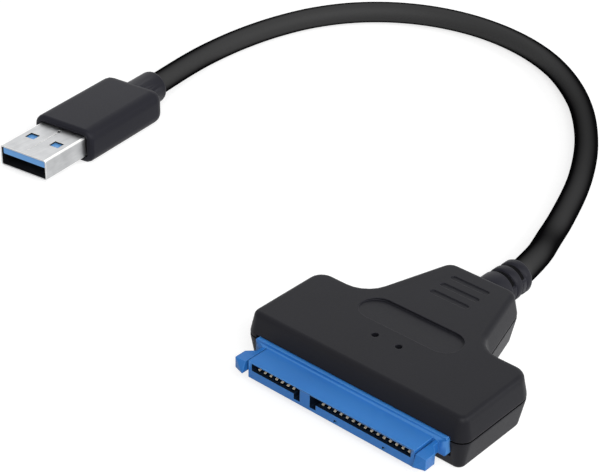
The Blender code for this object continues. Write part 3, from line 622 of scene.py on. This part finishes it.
# No light reaches the gap between the halves, so there the same ABS reads as a black line
GAP_ABS = MouldedPlastic("shaded ABS", "050506", "070708", "0E0E10", 0.7, shine=0.05)

# Soft elastomer, moulded in a finely blasted tool: smoother than the ABS and a little bluer
GRIP_TPE = MouldedPlastic(
    "satin elastomer", "191920", "1D1D24", "303037", 0.46, grain_height_mm=0.008, shine=0.12
)

# The sleeve's grooves are narrow and deep, so there the elastomer reads as black
GROOVE_TPE = MouldedPlastic("shaded elastomer", "060607", "08080A", "121214", 0.6, shine=0.05)

# Nylon with glass fibre, moulded: a strong satin blue, clouded by the fibre, with a painted highlight
# that makes its edges pale
SOCKET_NYLON = MouldedPlastic(
    "blue glass filled nylon", "2063AA", "2F78C2", "4E8CD0", 0.4, 0.4, 0.006, 0.18, shine=0.3, glow=0.1
)

# Deep in the slots hardly any light comes back off the blue
SLOT_NYLON = MouldedPlastic("shaded blue nylon", "0A1422", "0C1828", "1A2C44", 0.6, shine=0.1)

# The plug's insulator, moulded in a paler nylon: the one bright colour in the dark of the mouth
TONGUE_NYLON = MouldedPlastic("blue tongue nylon", "62A0E2", "6EACEA", "9CC8F4", 0.4, 0.4, 0.006, 0.1)

# Epoxy with mineral powder, moulded round the chips: dull black and finely speckled
CHIP_EPOXY = MouldedPlastic("black epoxy", "1B1B1D", "202022", "3A3A3C", 0.55, 0.2, 0.01, 0.08)

# Ceramic layers, pressed and fired: an even, chalky tan
CERAMIC = MouldedPlastic("fired ceramic", "A88A66", "B09470", "C8B090", 0.6, 0.2, 0.01, 0.06)

# Clear epoxy, cast in a mould: pale and glossy, as if it were wet
LAMP_EPOXY = MouldedPlastic("clear lamp epoxy", "D8DCD4", "E2E6DE", "F2F4F0", 0.2, 0.3, 0.004, 0.06)

# Steel sheet, rolled, folded and nickel plated: a soft grey mirror, with streaks along the plug
PLUG_NICKEL = PlatedSheet(
    "nickel plated steel", "C4C5C6", "A4A5A7", "F4F4F2", 0.32, turn=-8.0, edge_mm=0.22
)

# The mouth's long corners are painted near white, a painted highlight, so that they read as bright
# lines
FOLD_HIGHLIGHT_NICKEL = PlatedSheet("nickel fold with painted highlight", "F6F6F4", "E8E8E6", "FFFFFF", 0.28, turn=-8.0)

# Inside the mouth the same plating lies in the dark
MOUTH_SHADE = PlatedSheet(
    "unlit nickel plating", "17181B", "101114", "1E1F22", 0.5, turn=-8.0, metallic=0.5
)

# A drawn and plated can: the same soft mirror, without the bright folds
CAN_NICKEL = PlatedSheet("nickel plated can", "BEBDB9", "A8A7A3", "E0E0DC", 0.34)

# Bronze springs with thin satin gold scatter most of the light, so they stay pale in the slots
CONTACT_GOLD = PlatedSheet(
    "gold flash on bronze", "FFF8EA", "F0E4C8", "FFFAF0", 0.42, edge_mm=0.05, metallic=0.3
)

# Soft vinyl, extruded round the cores: near-black, with one broad grey band of light and dark rims
CABLE_VINYL = ExtrudedJacket("black cable vinyl", "0C0C0D", 0.6, shine=0.0, coat=0.38)

# Glass fibre board under solder lacquer: deep green, with the tracks paler through it
BOARD = BoardLacquer("green solder lacquer", "0F5A30", "2F8A4E", 0.35)

# Thin vinyl, extruded over each core: plain strong colours with a small highlight
CORES = {
    "wire_red": ExtrudedJacket("red core vinyl", "B02020", 0.45),
    "wire_white": ExtrudedJacket("white core vinyl", "D8D8D4", 0.45),
    "wire_green": ExtrudedJacket("green core vinyl", "208040", 0.45),
    "wire_blue": ExtrudedJacket("blue core vinyl", "2858A8", 0.45),
    "wire_black": ExtrudedJacket("black core vinyl", "202022", 0.45),
}


# Modelling by hand


def only(obj: bpy.types.Object) -> None:
    """Leaves one object selected and active.

    Args:
        obj: The object.
    """
    bpy.ops.object.select_all(action="DESELECT")
    obj.select_set(True)
    bpy.context.view_layer.objects.active = obj


def finish_piece(obj: bpy.types.Object, name: str, smooth_angle: float) -> None:
    """Names a piece, puts its place in its mesh, points its faces out and smooths its round faces.

    Args:
        obj: The piece.
        name: Its name.
        smooth_angle: Degrees between faces above which an edge stays sharp.
    """
    obj.name = obj.data.name = name
    only(obj)
    bpy.ops.object.transform_apply(location=True, rotation=True, scale=True)
    bpy.ops.object.mode_set(mode="EDIT")
    bpy.ops.mesh.select_all(action="SELECT")
    bpy.ops.mesh.remove_doubles(threshold=WELD_MM * MM)
    bpy.ops.mesh.normals_make_consistent(inside=False)
    bpy.ops.object.mode_set(mode="OBJECT")
    bpy.ops.object.shade_smooth_by_angle(angle=math.radians(smooth_angle))


def refined_copy(node: str, name: str, cutters: Iterable[bpy.types.Object] = ()) -> bpy.types.Object:
    """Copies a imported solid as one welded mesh, with its flat faces whole and its round ones smooth.

    Args:
        node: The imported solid.
        name: The copy's name.
        cutters: Closed pieces whose space is cut out of the copy. They are used up.

    Returns:
        The copy.
    """
    only(bpy.data.objects[node])
    bpy.ops.object.duplicate()
    piece = bpy.context.view_layer.objects.active
    # The copy isn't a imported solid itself, so it loses the marks of one
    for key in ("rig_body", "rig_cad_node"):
        if key in piece:
            del piece[key]
    piece.parent = None
    piece.data.materials.clear()
    bpy.ops.object.mode_set(mode="EDIT")
    bpy.ops.mesh.select_all(action="SELECT")
    bpy.ops.mesh.remove_doubles(threshold=WELD_MM * MM)
    bpy.ops.mesh.dissolve_limited(angle_limit=math.radians(FLAT_DEGREES))
    bpy.ops.object.mode_set(mode="OBJECT")
    piece.name = piece.data.name = name
    for cutter in cutters:
        cut = piece.modifiers.new("cut away", "BOOLEAN")
        cut.operation = "DIFFERENCE"
        cut.object = cutter
        only(piece)
        bpy.ops.object.modifier_apply(modifier=cut.name)
        bpy.data.objects.remove(cutter)
    bpy.ops.object.shade_smooth_by_angle(angle=math.radians(SMOOTH_DEGREES))
    # Flat faces keep their own normal, so that a small round beside a large face doesn't shade it
    weighted = piece.modifiers.new("flat faces stay flat", "WEIGHTED_NORMAL")
    weighted.keep_sharp = True
    bpy.ops.object.modifier_apply(modifier=weighted.name)
    return piece


def dress(piece: bpy.types.Object, finish: Finish) -> bpy.types.Object:
    """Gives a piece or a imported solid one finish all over.

    Args:
        piece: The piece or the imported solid.
        finish: Its finish.

    Returns:
        The same piece.
    """
    piece.data.materials.clear()
    piece.data.materials.append(finish.build())
    return piece


def pick_faces(piece: bpy.types.Object, rule: Rule) -> int:
    """Opens a piece in edit mode with only some of its faces selected.

    Args:
        piece: The piece.
        rule: Given a face's middle in metres, says if it is picked.

    Returns:
        How many faces are picked.
    """
    only(piece)
    bpy.ops.object.mode_set(mode="EDIT")
    bpy.ops.mesh.select_mode(type="FACE")
    bpy.ops.mesh.select_all(action="DESELECT")
    bpy.ops.object.mode_set(mode="OBJECT")
    picked = 0
    for face in piece.data.polygons:
        face.select = rule(face.center)
        picked += face.select
    bpy.ops.object.mode_set(mode="EDIT")
    return picked


def dress_faces(piece: bpy.types.Object, finish: Finish, rule: Rule) -> None:
    """Gives some faces of a piece a finish of their own.

    Args:
        piece: The piece, already dressed.
        finish: The finish of the picked faces.
        rule: Given a face's middle in metres, says if it is picked.
    """
    piece.data.materials.append(finish.build())
    picked = pick_faces(piece, rule)
    piece.active_material_index = len(piece.data.materials) - 1
    bpy.ops.object.material_slot_assign()
    bpy.ops.object.mode_set(mode="OBJECT")
    LOG.info("%s: %d faces in %s", piece.name, picked, finish.name)


def stand_in(piece: bpy.types.Object, node: str) -> None:
    """Puts a piece on the adapter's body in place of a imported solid.

    Args:
        piece: The finished piece.
        node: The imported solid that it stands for.
    """
    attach(piece, BODY)
    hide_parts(node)
    LOG.info("%s, a %s, stands for %s", piece.name, piece.type.lower(), node)


# The adapter's sub-assemblies


@dataclass
class Housing:
    """The T-shaped housing: two moulded halves that meet at a fine gap."""

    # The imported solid, the piece's name, and the height up to which its faces lie in the gap
    halves: Sequence[tuple[str, str, float]] = (
        ("upper_shell", "housing_top", 5.86),
        ("lower_shell", "housing_tray", 6.1),
    )
    gap_floor: float = 5.4
    grip_floor: float = 9.6
    grip_fill: float = 0.22

    def is_grip_floor(self, middle: Vector) -> bool:
        """Says if a face is the floor of one of the three grip grooves."""
        return abs(middle.z - self.grip_floor * MM) < NEAR_MM * MM

    def build(self) -> None:
        """Refines both halves, darkens their gap and raises the floors of the grip grooves."""
        pieces = []
        for node, name, gap_roof in self.halves:
            piece = dress(refined_copy(node, name), HOUSING_ABS)
            dress_faces(piece, GAP_ABS, lambda middle: self.gap_floor < middle.z / MM < gap_roof)
            stand_in(piece, node)
            pieces.append(piece)
        # The grooves are shallower here than in the solid, so that they look as faint as the real ones
        LOG.info("grip floors: %d", pick_faces(pieces[0], self.is_grip_floor))
        bpy.ops.transform.translate(value=(0, 0, self.grip_fill * MM))
        bpy.ops.object.mode_set(mode="OBJECT")


@dataclass
class DriveSocket:
    """The blue drive socket with its gold contacts."""

    signal_ways: int = 7
    power_ways: int = 15
    # The lowest and the highest corner of the room that holds both slots
    slot_room: tuple[Point, Point] = ((-17.3, 0.2, 1.9), (17.3, 9.0, 4.85))

    def is_in_slots(self, middle: Vector) -> bool:
        """Says if a face lies inside one of the two slots."""
        low, high = (housing_point(*corner) for corner in self.slot_room)
        return all(a < c < b for a, c, b in zip(low, middle, high))

    def build(self) -> None:
        """Refines the blue body, darkens its slots and gilds the contacts."""
        body = dress(refined_copy("sata_body", "drive_socket"), SOCKET_NYLON)
        dress_faces(body, SLOT_NYLON, self.is_in_slots)
        stand_in(body, "sata_body")
        names = [f"signal_contact_{i + 1}" for i in range(self.signal_ways)]
        names += [f"power_contact_{i + 1:02d}" for i in range(self.power_ways)]
        for name in names:
            dress(bpy.data.objects[name], CONTACT_GOLD)


@dataclass
class Electronics:
    """The board and what it carries, seen only through the lamp holes and the gaps."""

    finishes: dict[str, Finish] = field(
        default_factory=lambda: {
            "circuit_board": BOARD,
            "bridge_chip": CHIP_EPOXY,
            "memory_chip": CHIP_EPOXY,
            "voltage_regulator": CHIP_EPOXY,
            "inductor": CHIP_EPOXY,
            "crystal": CAN_NICKEL,
            "capacitor_1": CERAMIC,
            "capacitor_2": CERAMIC,
            "power_lamp": LAMP_EPOXY,
            "activity_lamp": LAMP_EPOXY,
            **CORES,
        }
    )

    def build(self) -> None:
        """Dresses each inner solid in its own finish."""
        for name, finish in self.finishes.items():
            dress(bpy.data.objects[name], finish)


@dataclass
class StrainRelief:
    """The ribbed rubber sleeve that the cable leaves the housing through."""

    start: float = 42.5
    axis_height: float = 5.0
    bore: float = 2.7
    # The diameter and length of each ring, and of the grooves between them
    rings: Sequence[Pair] = ((7.0, 4.0), (6.8, 1.9), (6.6, 1.9))
    groove: Pair = (5.9, 1.1)
    # The diameter of the flange inside the neck, and where it begins and ends
    flange: Point = (7.6, 37.8, 39.3)
    waist: float = 6.2
    web_angle: float = 20.0
    web_radius: float = 3.3
    edge: float = 0.35
    # A rounded edge in three points: how far along and how far in, as shares of its size
    rounding: Sequence[Pair] = ((0.0, 1.0), (0.3, 0.3), (1.0, 0.0))
    sides: int = 56
    smooth_angle: float = 50.0

    def axis(self, y: float = 0.0) -> Vector:
        """Gives the place on the sleeve's axis at a distance back, in the frame's metres."""
        return housing_point(0, y, self.axis_height)

    def profile(self) -> list[Pair]:
        """Lays out the sleeve's outer side, from the flange to the tip.

        Returns:
            Radius and distance back of each point.
        """
        wide, front, back = self.flange
        line = [(wide / 2, front), (wide / 2, back)]
        line += [(self.waist / 2, back), (self.waist / 2, self.start)]
        floor, gap = self.groove[0] / 2, self.groove[1]
        y = self.start
        for i, (diameter, length) in enumerate(self.rings):
            if i:
                line += [(floor, y), (floor, y + gap)]
                y += gap
            top = diameter / 2
            line += [
                (top - inward * self.edge, y + along * self.edge) for along, inward in self.rounding
            ]
            y += length
            line += [
                (top - inward * self.edge, y - along * self.edge)
                for along, inward in reversed(self.rounding)
            ]
        return line

    def is_web(self, middle: Vector) -> bool:
        """Says if a face of a groove's floor lies where a web bridges the groove.

        Args:
            middle: The face's middle in metres.

        Returns:
            Whether it does, on either side.
        """
        away = (middle - self.axis()) / MM
        level = math.degrees(math.atan2(abs(away.z), abs(away.x)))
        off_floor = abs(math.hypot(away.x, away.z) - self.groove[0] / 2)
        return level < self.web_angle and off_floor < NEAR_MM

    def is_groove(self, middle: Vector) -> bool:
        """Says if a face lies as deep as the floor of a groove, or deeper."""
        away = (middle - self.axis()) / MM
        return math.hypot(away.x, away.z) < self.groove[0] / 2 + NEAR_MM

    def build(self) -> None:
        """Draws the sleeve out of one circle, ring by ring, and closes it with its bore."""
        line = self.profile()
        radius, y = line[0]
        bpy.ops.mesh.primitive_circle_add(
            vertices=self.sides,
            radius=radius * MM,
            location=self.axis(y),
            rotation=(math.radians(90), 0, 0),
        )
        sleeve = bpy.context.object
        bpy.ops.object.transform_apply(location=True, rotation=True, scale=True)
        bpy.ops.object.mode_set(mode="EDIT")
        bpy.ops.mesh.select_mode(type="VERT")
        bpy.ops.mesh.select_all(action="SELECT")
        tail = line + [(self.bore, line[-1][1]), (self.bore, line[0][1]), line[0]]
        for (radius, y), (next_radius, next_y) in zip(tail, tail[1:]):
            move = {"value": (0, (next_y - y) * MM, 0)}
            bpy.ops.mesh.extrude_region_move(TRANSFORM_OT_translate=move)
            ratio = next_radius / radius
            bpy.ops.transform.resize(value=(ratio, 1, ratio), center_override=self.axis(next_y))
        bpy.ops.object.mode_set(mode="OBJECT")
        # The grooves stop at both sides, where webs join the rings
        LOG.info("web faces: %d", pick_faces(sleeve, self.is_web))
        rise = self.web_radius / (self.groove[0] / 2)
        bpy.ops.transform.resize(value=(rise, 1, rise), center_override=self.axis())
        bpy.ops.object.mode_set(mode="OBJECT")
        finish_piece(sleeve, "cable_sleeve", self.smooth_angle)
        dress(sleeve, GRIP_TPE)
        dress_faces(sleeve, GROOVE_TPE, self.is_groove)
        stand_in(sleeve, "strain_relief")


@dataclass
class Plug:
    """The USB plug on the cable's far end: moulded grip, metal mouth, blue tongue and contacts."""

    # Where the middle of the mouth's front edge lies, across and back
    mouth: Pair = (-98.4, 20.3)
    turn: float = 8.0
    axis_height: float = 3.8
    width: float = 12.0
    height: float = 4.5
    # How far the painted highlight on a corner reaches inwards and up or down
    fold: Pair = (0.5, 0.25)
    # How far inside the outer size the shade begins: across, along and up
    shade_from: Point = (0.2, 0.3, 0.05)
    # Where the seam begins and ends, its width and its depth
    seam: tuple[float, float, float, float] = (1.2, 11.2, 0.12, 0.1)
    # The hole's diameter and the length of the pin that cuts it
    hole: Pair = (0.7, 1.0)
    hole_sides: int = 20
    contacts: int = 4
    fast_contacts: int = 5

    def point(self, across: float, along: float, up: float) -> Vector:
        """Turns a place in the plug's millimetres into the frame's metres.

        Args:
            across: Millimetres to the right of the plug's axis.
            along: Millimetres back from the mouth's front edge.
            up: Millimetres over the axis.

        Returns:
            The place in metres.
        """
        turn = math.radians(self.turn)
        x = self.mouth[0] + across * math.cos(turn) - along * math.sin(turn)
        y = self.mouth[1] + across * math.sin(turn) + along * math.cos(turn)
        return housing_point(x, y, self.axis_height + up)

    def inside_plug(self, place: Vector) -> Point:
        """Turns a place in the frame's metres into the plug's millimetres.

        Args:
            place: The place in metres.

        Returns:
            Millimetres across, along and over the plug's axis.
        """
        turn = math.radians(self.turn)
        away = (place - self.point(0, 0, 0)) / MM
        across = away.x * math.cos(turn) + away.y * math.sin(turn)
        along = away.y * math.cos(turn) - away.x * math.sin(turn)
        return across, along, away.z

    def seam_cutters(self) -> list[bpy.types.Object]:
        """Makes what cuts the fold's closing seam and the small round hole at its end.

        Returns:
            A thin bar and a pin.
        """
        start, end, width, depth = self.seam
        roof = self.height / 2
        bpy.ops.object.select_all(action="DESELECT")
        bpy.ops.mesh.primitive_cube_add(
            size=1.0,
            location=self.point(0, (start + end) / 2, roof),
            rotation=(0, 0, math.radians(self.turn)),
            scale=(width * MM, (end - start) * MM, 2 * depth * MM),
        )
        bar = bpy.context.object
        diameter, length = self.hole
        bpy.ops.mesh.primitive_cylinder_add(
            vertices=self.hole_sides,
            radius=diameter / 2 * MM,
            depth=length * MM,
            location=self.point(0, end, roof),
        )
        return [bar, bpy.context.object]

    def is_fold(self, middle: Vector) -> bool:
        """Says if a face lies on one of the mouth's four long corners.

        Args:
            middle: The face's middle in metres.

        Returns:
            Whether it does, near the mouth's top or bottom.
        """
        across, _, up = self.inside_plug(middle)
        inwards, down = self.fold
        return abs(across) > self.width / 2 - inwards and abs(up) > self.height / 2 - down

    def is_shaded(self, middle: Vector) -> bool:
        """Says if a face lies inside the mouth or in the cut wall of a window.

        Args:
            middle: The face's middle in metres.

        Returns:
            Whether it does.
        """
        across, along, up = self.inside_plug(middle)
        side, front, roof = self.shade_from
        within = abs(across) < self.width / 2 - side and abs(up) < self.height / 2 - roof
        return within and along > front

    def build(self) -> list[bpy.types.Object]:
        """Builds the grip, the mouth and the tongue, and gilds the contacts.

        Returns:
            Every piece that lies on the cable.
        """
        grip = dress(refined_copy("usb_grip", "plug_grip"), GRIP_TPE)
        mouth = dress(refined_copy("usb_shell", "plug_mouth", cutters=self.seam_cutters()), PLUG_NICKEL)
        # The mouth's long corners get a painted highlight
        dress_faces(mouth, FOLD_HIGHLIGHT_NICKEL, self.is_fold)
        dress_faces(mouth, MOUTH_SHADE, self.is_shaded)
        tongue = dress(refined_copy("usb_tongue", "plug_tongue"), TONGUE_NYLON)
        stand_in(grip, "usb_grip")
        stand_in(mouth, "usb_shell")
        stand_in(tongue, "usb_tongue")
        names = [f"usb_contact_{i + 1}" for i in range(self.contacts)]
        names += [f"usb_fast_contact_{i + 1}" for i in range(self.fast_contacts)]
        gilded = [dress(bpy.data.objects[name], CONTACT_GOLD) for name in names]
        return [grip, mouth, tongue, *gilded]


@dataclass
class Cable:
    """The round cable, in one loose bend from the sleeve to the plug."""

    plug: Plug
    diameter: float = 5.0
    roundness: int = 8
    exit: Point = (0.0, 52.5, 5.0)
    # Distances back in the housing and the sleeve, and along the plug from its mouth
    inside: Sequence[float] = (36.1, 42.2, 52.5, 52.8)
    far_inside: Sequence[float] = (43.4, 43.1, 36.7, 20.7)
    step: float = 2.0
    least_step: float = 0.01
    route: Sequence[Point] = (
        (-1.9, 61.8, 4.2),
        (-4.9, 70.0, 2.9),
        (-7.8, 78.8, 2.55),
        (-13.7, 94.0, 2.55),
        (-22.4, 109.7, 2.55),
        (-33.8, 123.8, 2.55),
        (-47.2, 134.2, 2.55),
        (-60.0, 139.2, 2.55),
        (-72.5, 140.3, 2.55),
        (-83.6, 138.0, 2.55),
        (-92.6, 133.2, 2.55),
        (-99.8, 126.2, 2.55),
        (-104.9, 117.4, 2.55),
        (-107.9, 107.4, 2.55),
        (-109.3, 96.4, 2.55),
        (-109.2, 85.6, 2.6),
        (-107.6, 76.6, 3.1),
    )

    def line(self) -> list[Vector]:
        """Lays close points along the cable's axis, on a smooth curve through its route.

        Returns:
            The points in metres, from the housing to the plug.
        """
        route = [housing_point(0, y, self.exit[2]) for y in self.inside]
        route += [housing_point(*place) for place in self.route]
        route += [self.plug.point(0, along, 0) for along in self.far_inside]
        points = [route[0].copy()]
        for i in range(len(route) - 1):
            start, end = route[i], route[i + 1]
            before = route[i - 1] if i else 2 * start - end
            after = route[i + 2] if i + 2 < len(route) else 2 * end - start
            # Marks that grow with the root of each distance keep the curve free of loops
            marks = [0.0]
            for a, b in ((before, start), (start, end), (end, after)):
                marks.append(marks[-1] + max((b - a).length, self.least_step * MM) ** 0.5)
            pieces = max(1, round((end - start).length / (self.step * MM)))
            for piece in range(1, pieces + 1):
                share = piece / pieces
                t = marks[1] + (marks[2] - marks[1]) * share
                # Two rounds of blending between neighbours, and a last one, give the curve's point
                row: Sequence[Vector] = (before, start, end, after)
                for level in (1, 2):
                    row = [
                        row[k].lerp(row[k + 1], (t - marks[k]) / (marks[k + level] - marks[k]))
                        for k in range(len(row) - 1)
                    ]
                points.append(row[0].lerp(row[1], share))
        return points

    def build(self, on_cable: Iterable[bpy.types.Object]) -> None:
        """Args:
            on_cable: The pieces of the plug; it is not used.
        """
        points = self.line()
        curve = bpy.data.curves.new("cable_line", "CURVE")
        curve.dimensions = "3D"
        curve.bevel_depth = self.diameter / 2 * MM
        curve.bevel_resolution = self.roundness
        curve.use_fill_caps = True
        spline = curve.splines.new("POLY")
        spline.points.add(len(points) - 1)
        for point, place in zip(spline.points, points):
            point.co = (*place, 1.0)
        spline.use_smooth = True
        cable = bpy.data.objects.new("cable_run", curve)
        bpy.context.scene.collection.objects.link(cable)
        curve.materials.append(CABLE_VINYL.build())
        stand_in(cable, "cable")


# The studio


@dataclass(frozen=True)
class Softbox:
    """A soft lamp that looks at a point on the object."""

    name: str
    place: Point
    aim: Point
    size: float
    power: float

    def build(self) -> None:
        """Hangs the lamp."""
        lamp = bpy.data.lights.new(self.name, "AREA")
        lamp.shape = "SQUARE"
        lamp.size = self.size
        lamp.energy = self.power
        obj = bpy.data.objects.new(self.name, lamp)
        bpy.context.scene.collection.objects.link(obj)
        way = Vector(self.aim) - Vector(self.place)
        turned = way.to_track_quat("-Z", "Y").to_matrix().to_4x4()
        obj.matrix_world = Matrix.Translation(self.place) @ turned


def who_looks(tree: bpy.types.NodeTree) -> bpy.types.NodeSocket:
    """Gives one where the camera or a mirror looks, and zero where light is only gathered.

    Args:
        tree: The node tree.

    Returns:
        The socket with the one or the zero.
    """
    path = add_node(tree, "ShaderNodeLightPath", "who looks")
    seen = add_node(
        tree,
        "ShaderNodeMath",
        "camera or mirror",
        links={0: path.outputs["Is Camera Ray"], 1: path.outputs["Is Glossy Ray"]},
        operation="MAXIMUM",
    )
    return seen.outputs[0]


@dataclass
class Studio:
    """A pale floor, a pale world, soft lamps and the camera at the photograph's angle."""

    azimuth: float = 40.82
    elevation: float = 31.32
    roll: float = 1.27
    distance: float = 320.0
    lens: float = 100.73
    sensor: float = 36.0
    # The nearest and the farthest that the camera sees, in metres
    sight: Pair = (0.01, 20.0)
    target: Point = (-41.26, 39.84, 1.71)
    # The floor's side and how far it lies under the adapter, in metres
    floor_side: float = 12.0
    floor_drop: float = 0.0002
    floor_glow: float = 0.72
    air_light: float = 0.25
    air_seen: float = 1.0
    lamps: Sequence[Softbox] = (
        Softbox("key from the right", (0.68, 0.3, 0.45), (-0.03, 0.03, 0.0), 0.5, 4.2),
        Softbox("high behind left", (-0.5, 0.6, 0.5), (-0.03, 0.03, 0.0), 0.8, 0.8),
        Softbox("beside the camera", (0.5, -0.5, 0.6), (-0.03, 0.03, 0.0), 0.6, 7.0),
    )

    def build(self) -> None:
        """Sets up the whole studio."""
        self.camera()
        self.floor()
        self.world()
        for lamp in self.lamps:
            lamp.build()
        bpy.context.scene.view_settings.view_transform = "Standard"

    def camera(self) -> None:
        """Puts the camera where the photograph was taken from."""
        turn, lift, roll = (math.radians(a) for a in (self.azimuth, self.elevation, self.roll))
        back = Vector(
            (math.sin(turn) * math.cos(lift), -math.cos(turn) * math.cos(lift), math.sin(lift))
        )
        right = Vector((math.cos(turn), math.sin(turn), 0.0))
        up = back.cross(right)
        rolled_right = right * math.cos(roll) + up * math.sin(roll)
        rolled_up = up * math.cos(roll) - right * math.sin(roll)
        place = housing_point(*self.target) + back * self.distance * MM
        data = bpy.data.cameras.new("photo_camera")
        data.lens = self.lens
        data.sensor_width = self.sensor
        data.clip_start, data.clip_end = self.sight
        camera = bpy.data.objects.new("photo_camera", data)
        bpy.context.scene.collection.objects.link(camera)
        matrix = Matrix((rolled_right, rolled_up, back)).transposed().to_4x4()
        camera.matrix_world = Matrix.Translation(place) @ matrix
        bpy.context.scene.camera = camera

    def floor(self) -> None:
        """Lays a pale floor that keeps the adapter's shadow."""
        bpy.ops.mesh.primitive_plane_add(size=self.floor_side, location=(0, 0, -self.floor_drop))
        plane = bpy.context.object
        plane.name = "studio_floor"
        material = bpy.data.materials.new("pale paper sweep")
        material.use_nodes = True
        tree = material.node_tree
        tree.nodes.clear()
        paper = add_node(tree, "ShaderNodeBsdfDiffuse", "paper", {"Color": linear("B0B0B0")})
        glow = add_node(tree, "ShaderNodeEmission", "white for the eye", {"Strength": self.floor_glow})
        none = add_node(tree, "ShaderNodeEmission", "no glow on the object", {"Strength": 0.0})
        choice = add_node(
            tree,
            "ShaderNodeMixShader",
            "glow only when seen",
            links={0: who_looks(tree), 1: none.outputs[0], 2: glow.outputs[0]},
        )
        both = add_node(
            tree,
            "ShaderNodeAddShader",
            "paper and glow",
            links={0: paper.outputs[0], 1: choice.outputs[0]},
        )
        add_node(tree, "ShaderNodeOutputMaterial", "surface", links={"Surface": both.outputs[0]})
        plane.data.materials.append(material)

    def world(self) -> None:
        """Gives white to the eye and to reflections, and plain grey light to the object."""
        world = bpy.data.worlds.new("studio_air")
        world.use_nodes = True
        tree = world.node_tree
        tree.nodes.clear()
        white = linear("FFFFFF")
        light, seen = (
            add_node(tree, "ShaderNodeBackground", name, {"Color": white, "Strength": strength})
            for name, strength in (("light", self.air_light), ("white surrounding", self.air_seen))
        )
        choice = add_node(
            tree,
            "ShaderNodeMixShader",
            "white when seen",
            links={0: who_looks(tree), 1: light.outputs[0], 2: seen.outputs[0]},
        )
        add_node(tree, "ShaderNodeOutputWorld", "air", links={"Surface": choice.outputs[0]})
        bpy.context.scene.world = world


def main() -> None:
    """Builds the studio and every piece of the adapter, in order."""
    logging.basicConfig(level=logging.INFO, format="%(name)s: %(message)s")
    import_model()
    Studio().build()
    plug = Plug()
    Cable(plug).build(plug.build())
    for assembly in (Housing(), DriveSocket(), Electronics(), StrainRelief()):
        assembly.build()
        LOG.info("%s is built", type(assembly).__name__)
    LOG.info("boxes written")


if __name__ == "__main__":
    main()
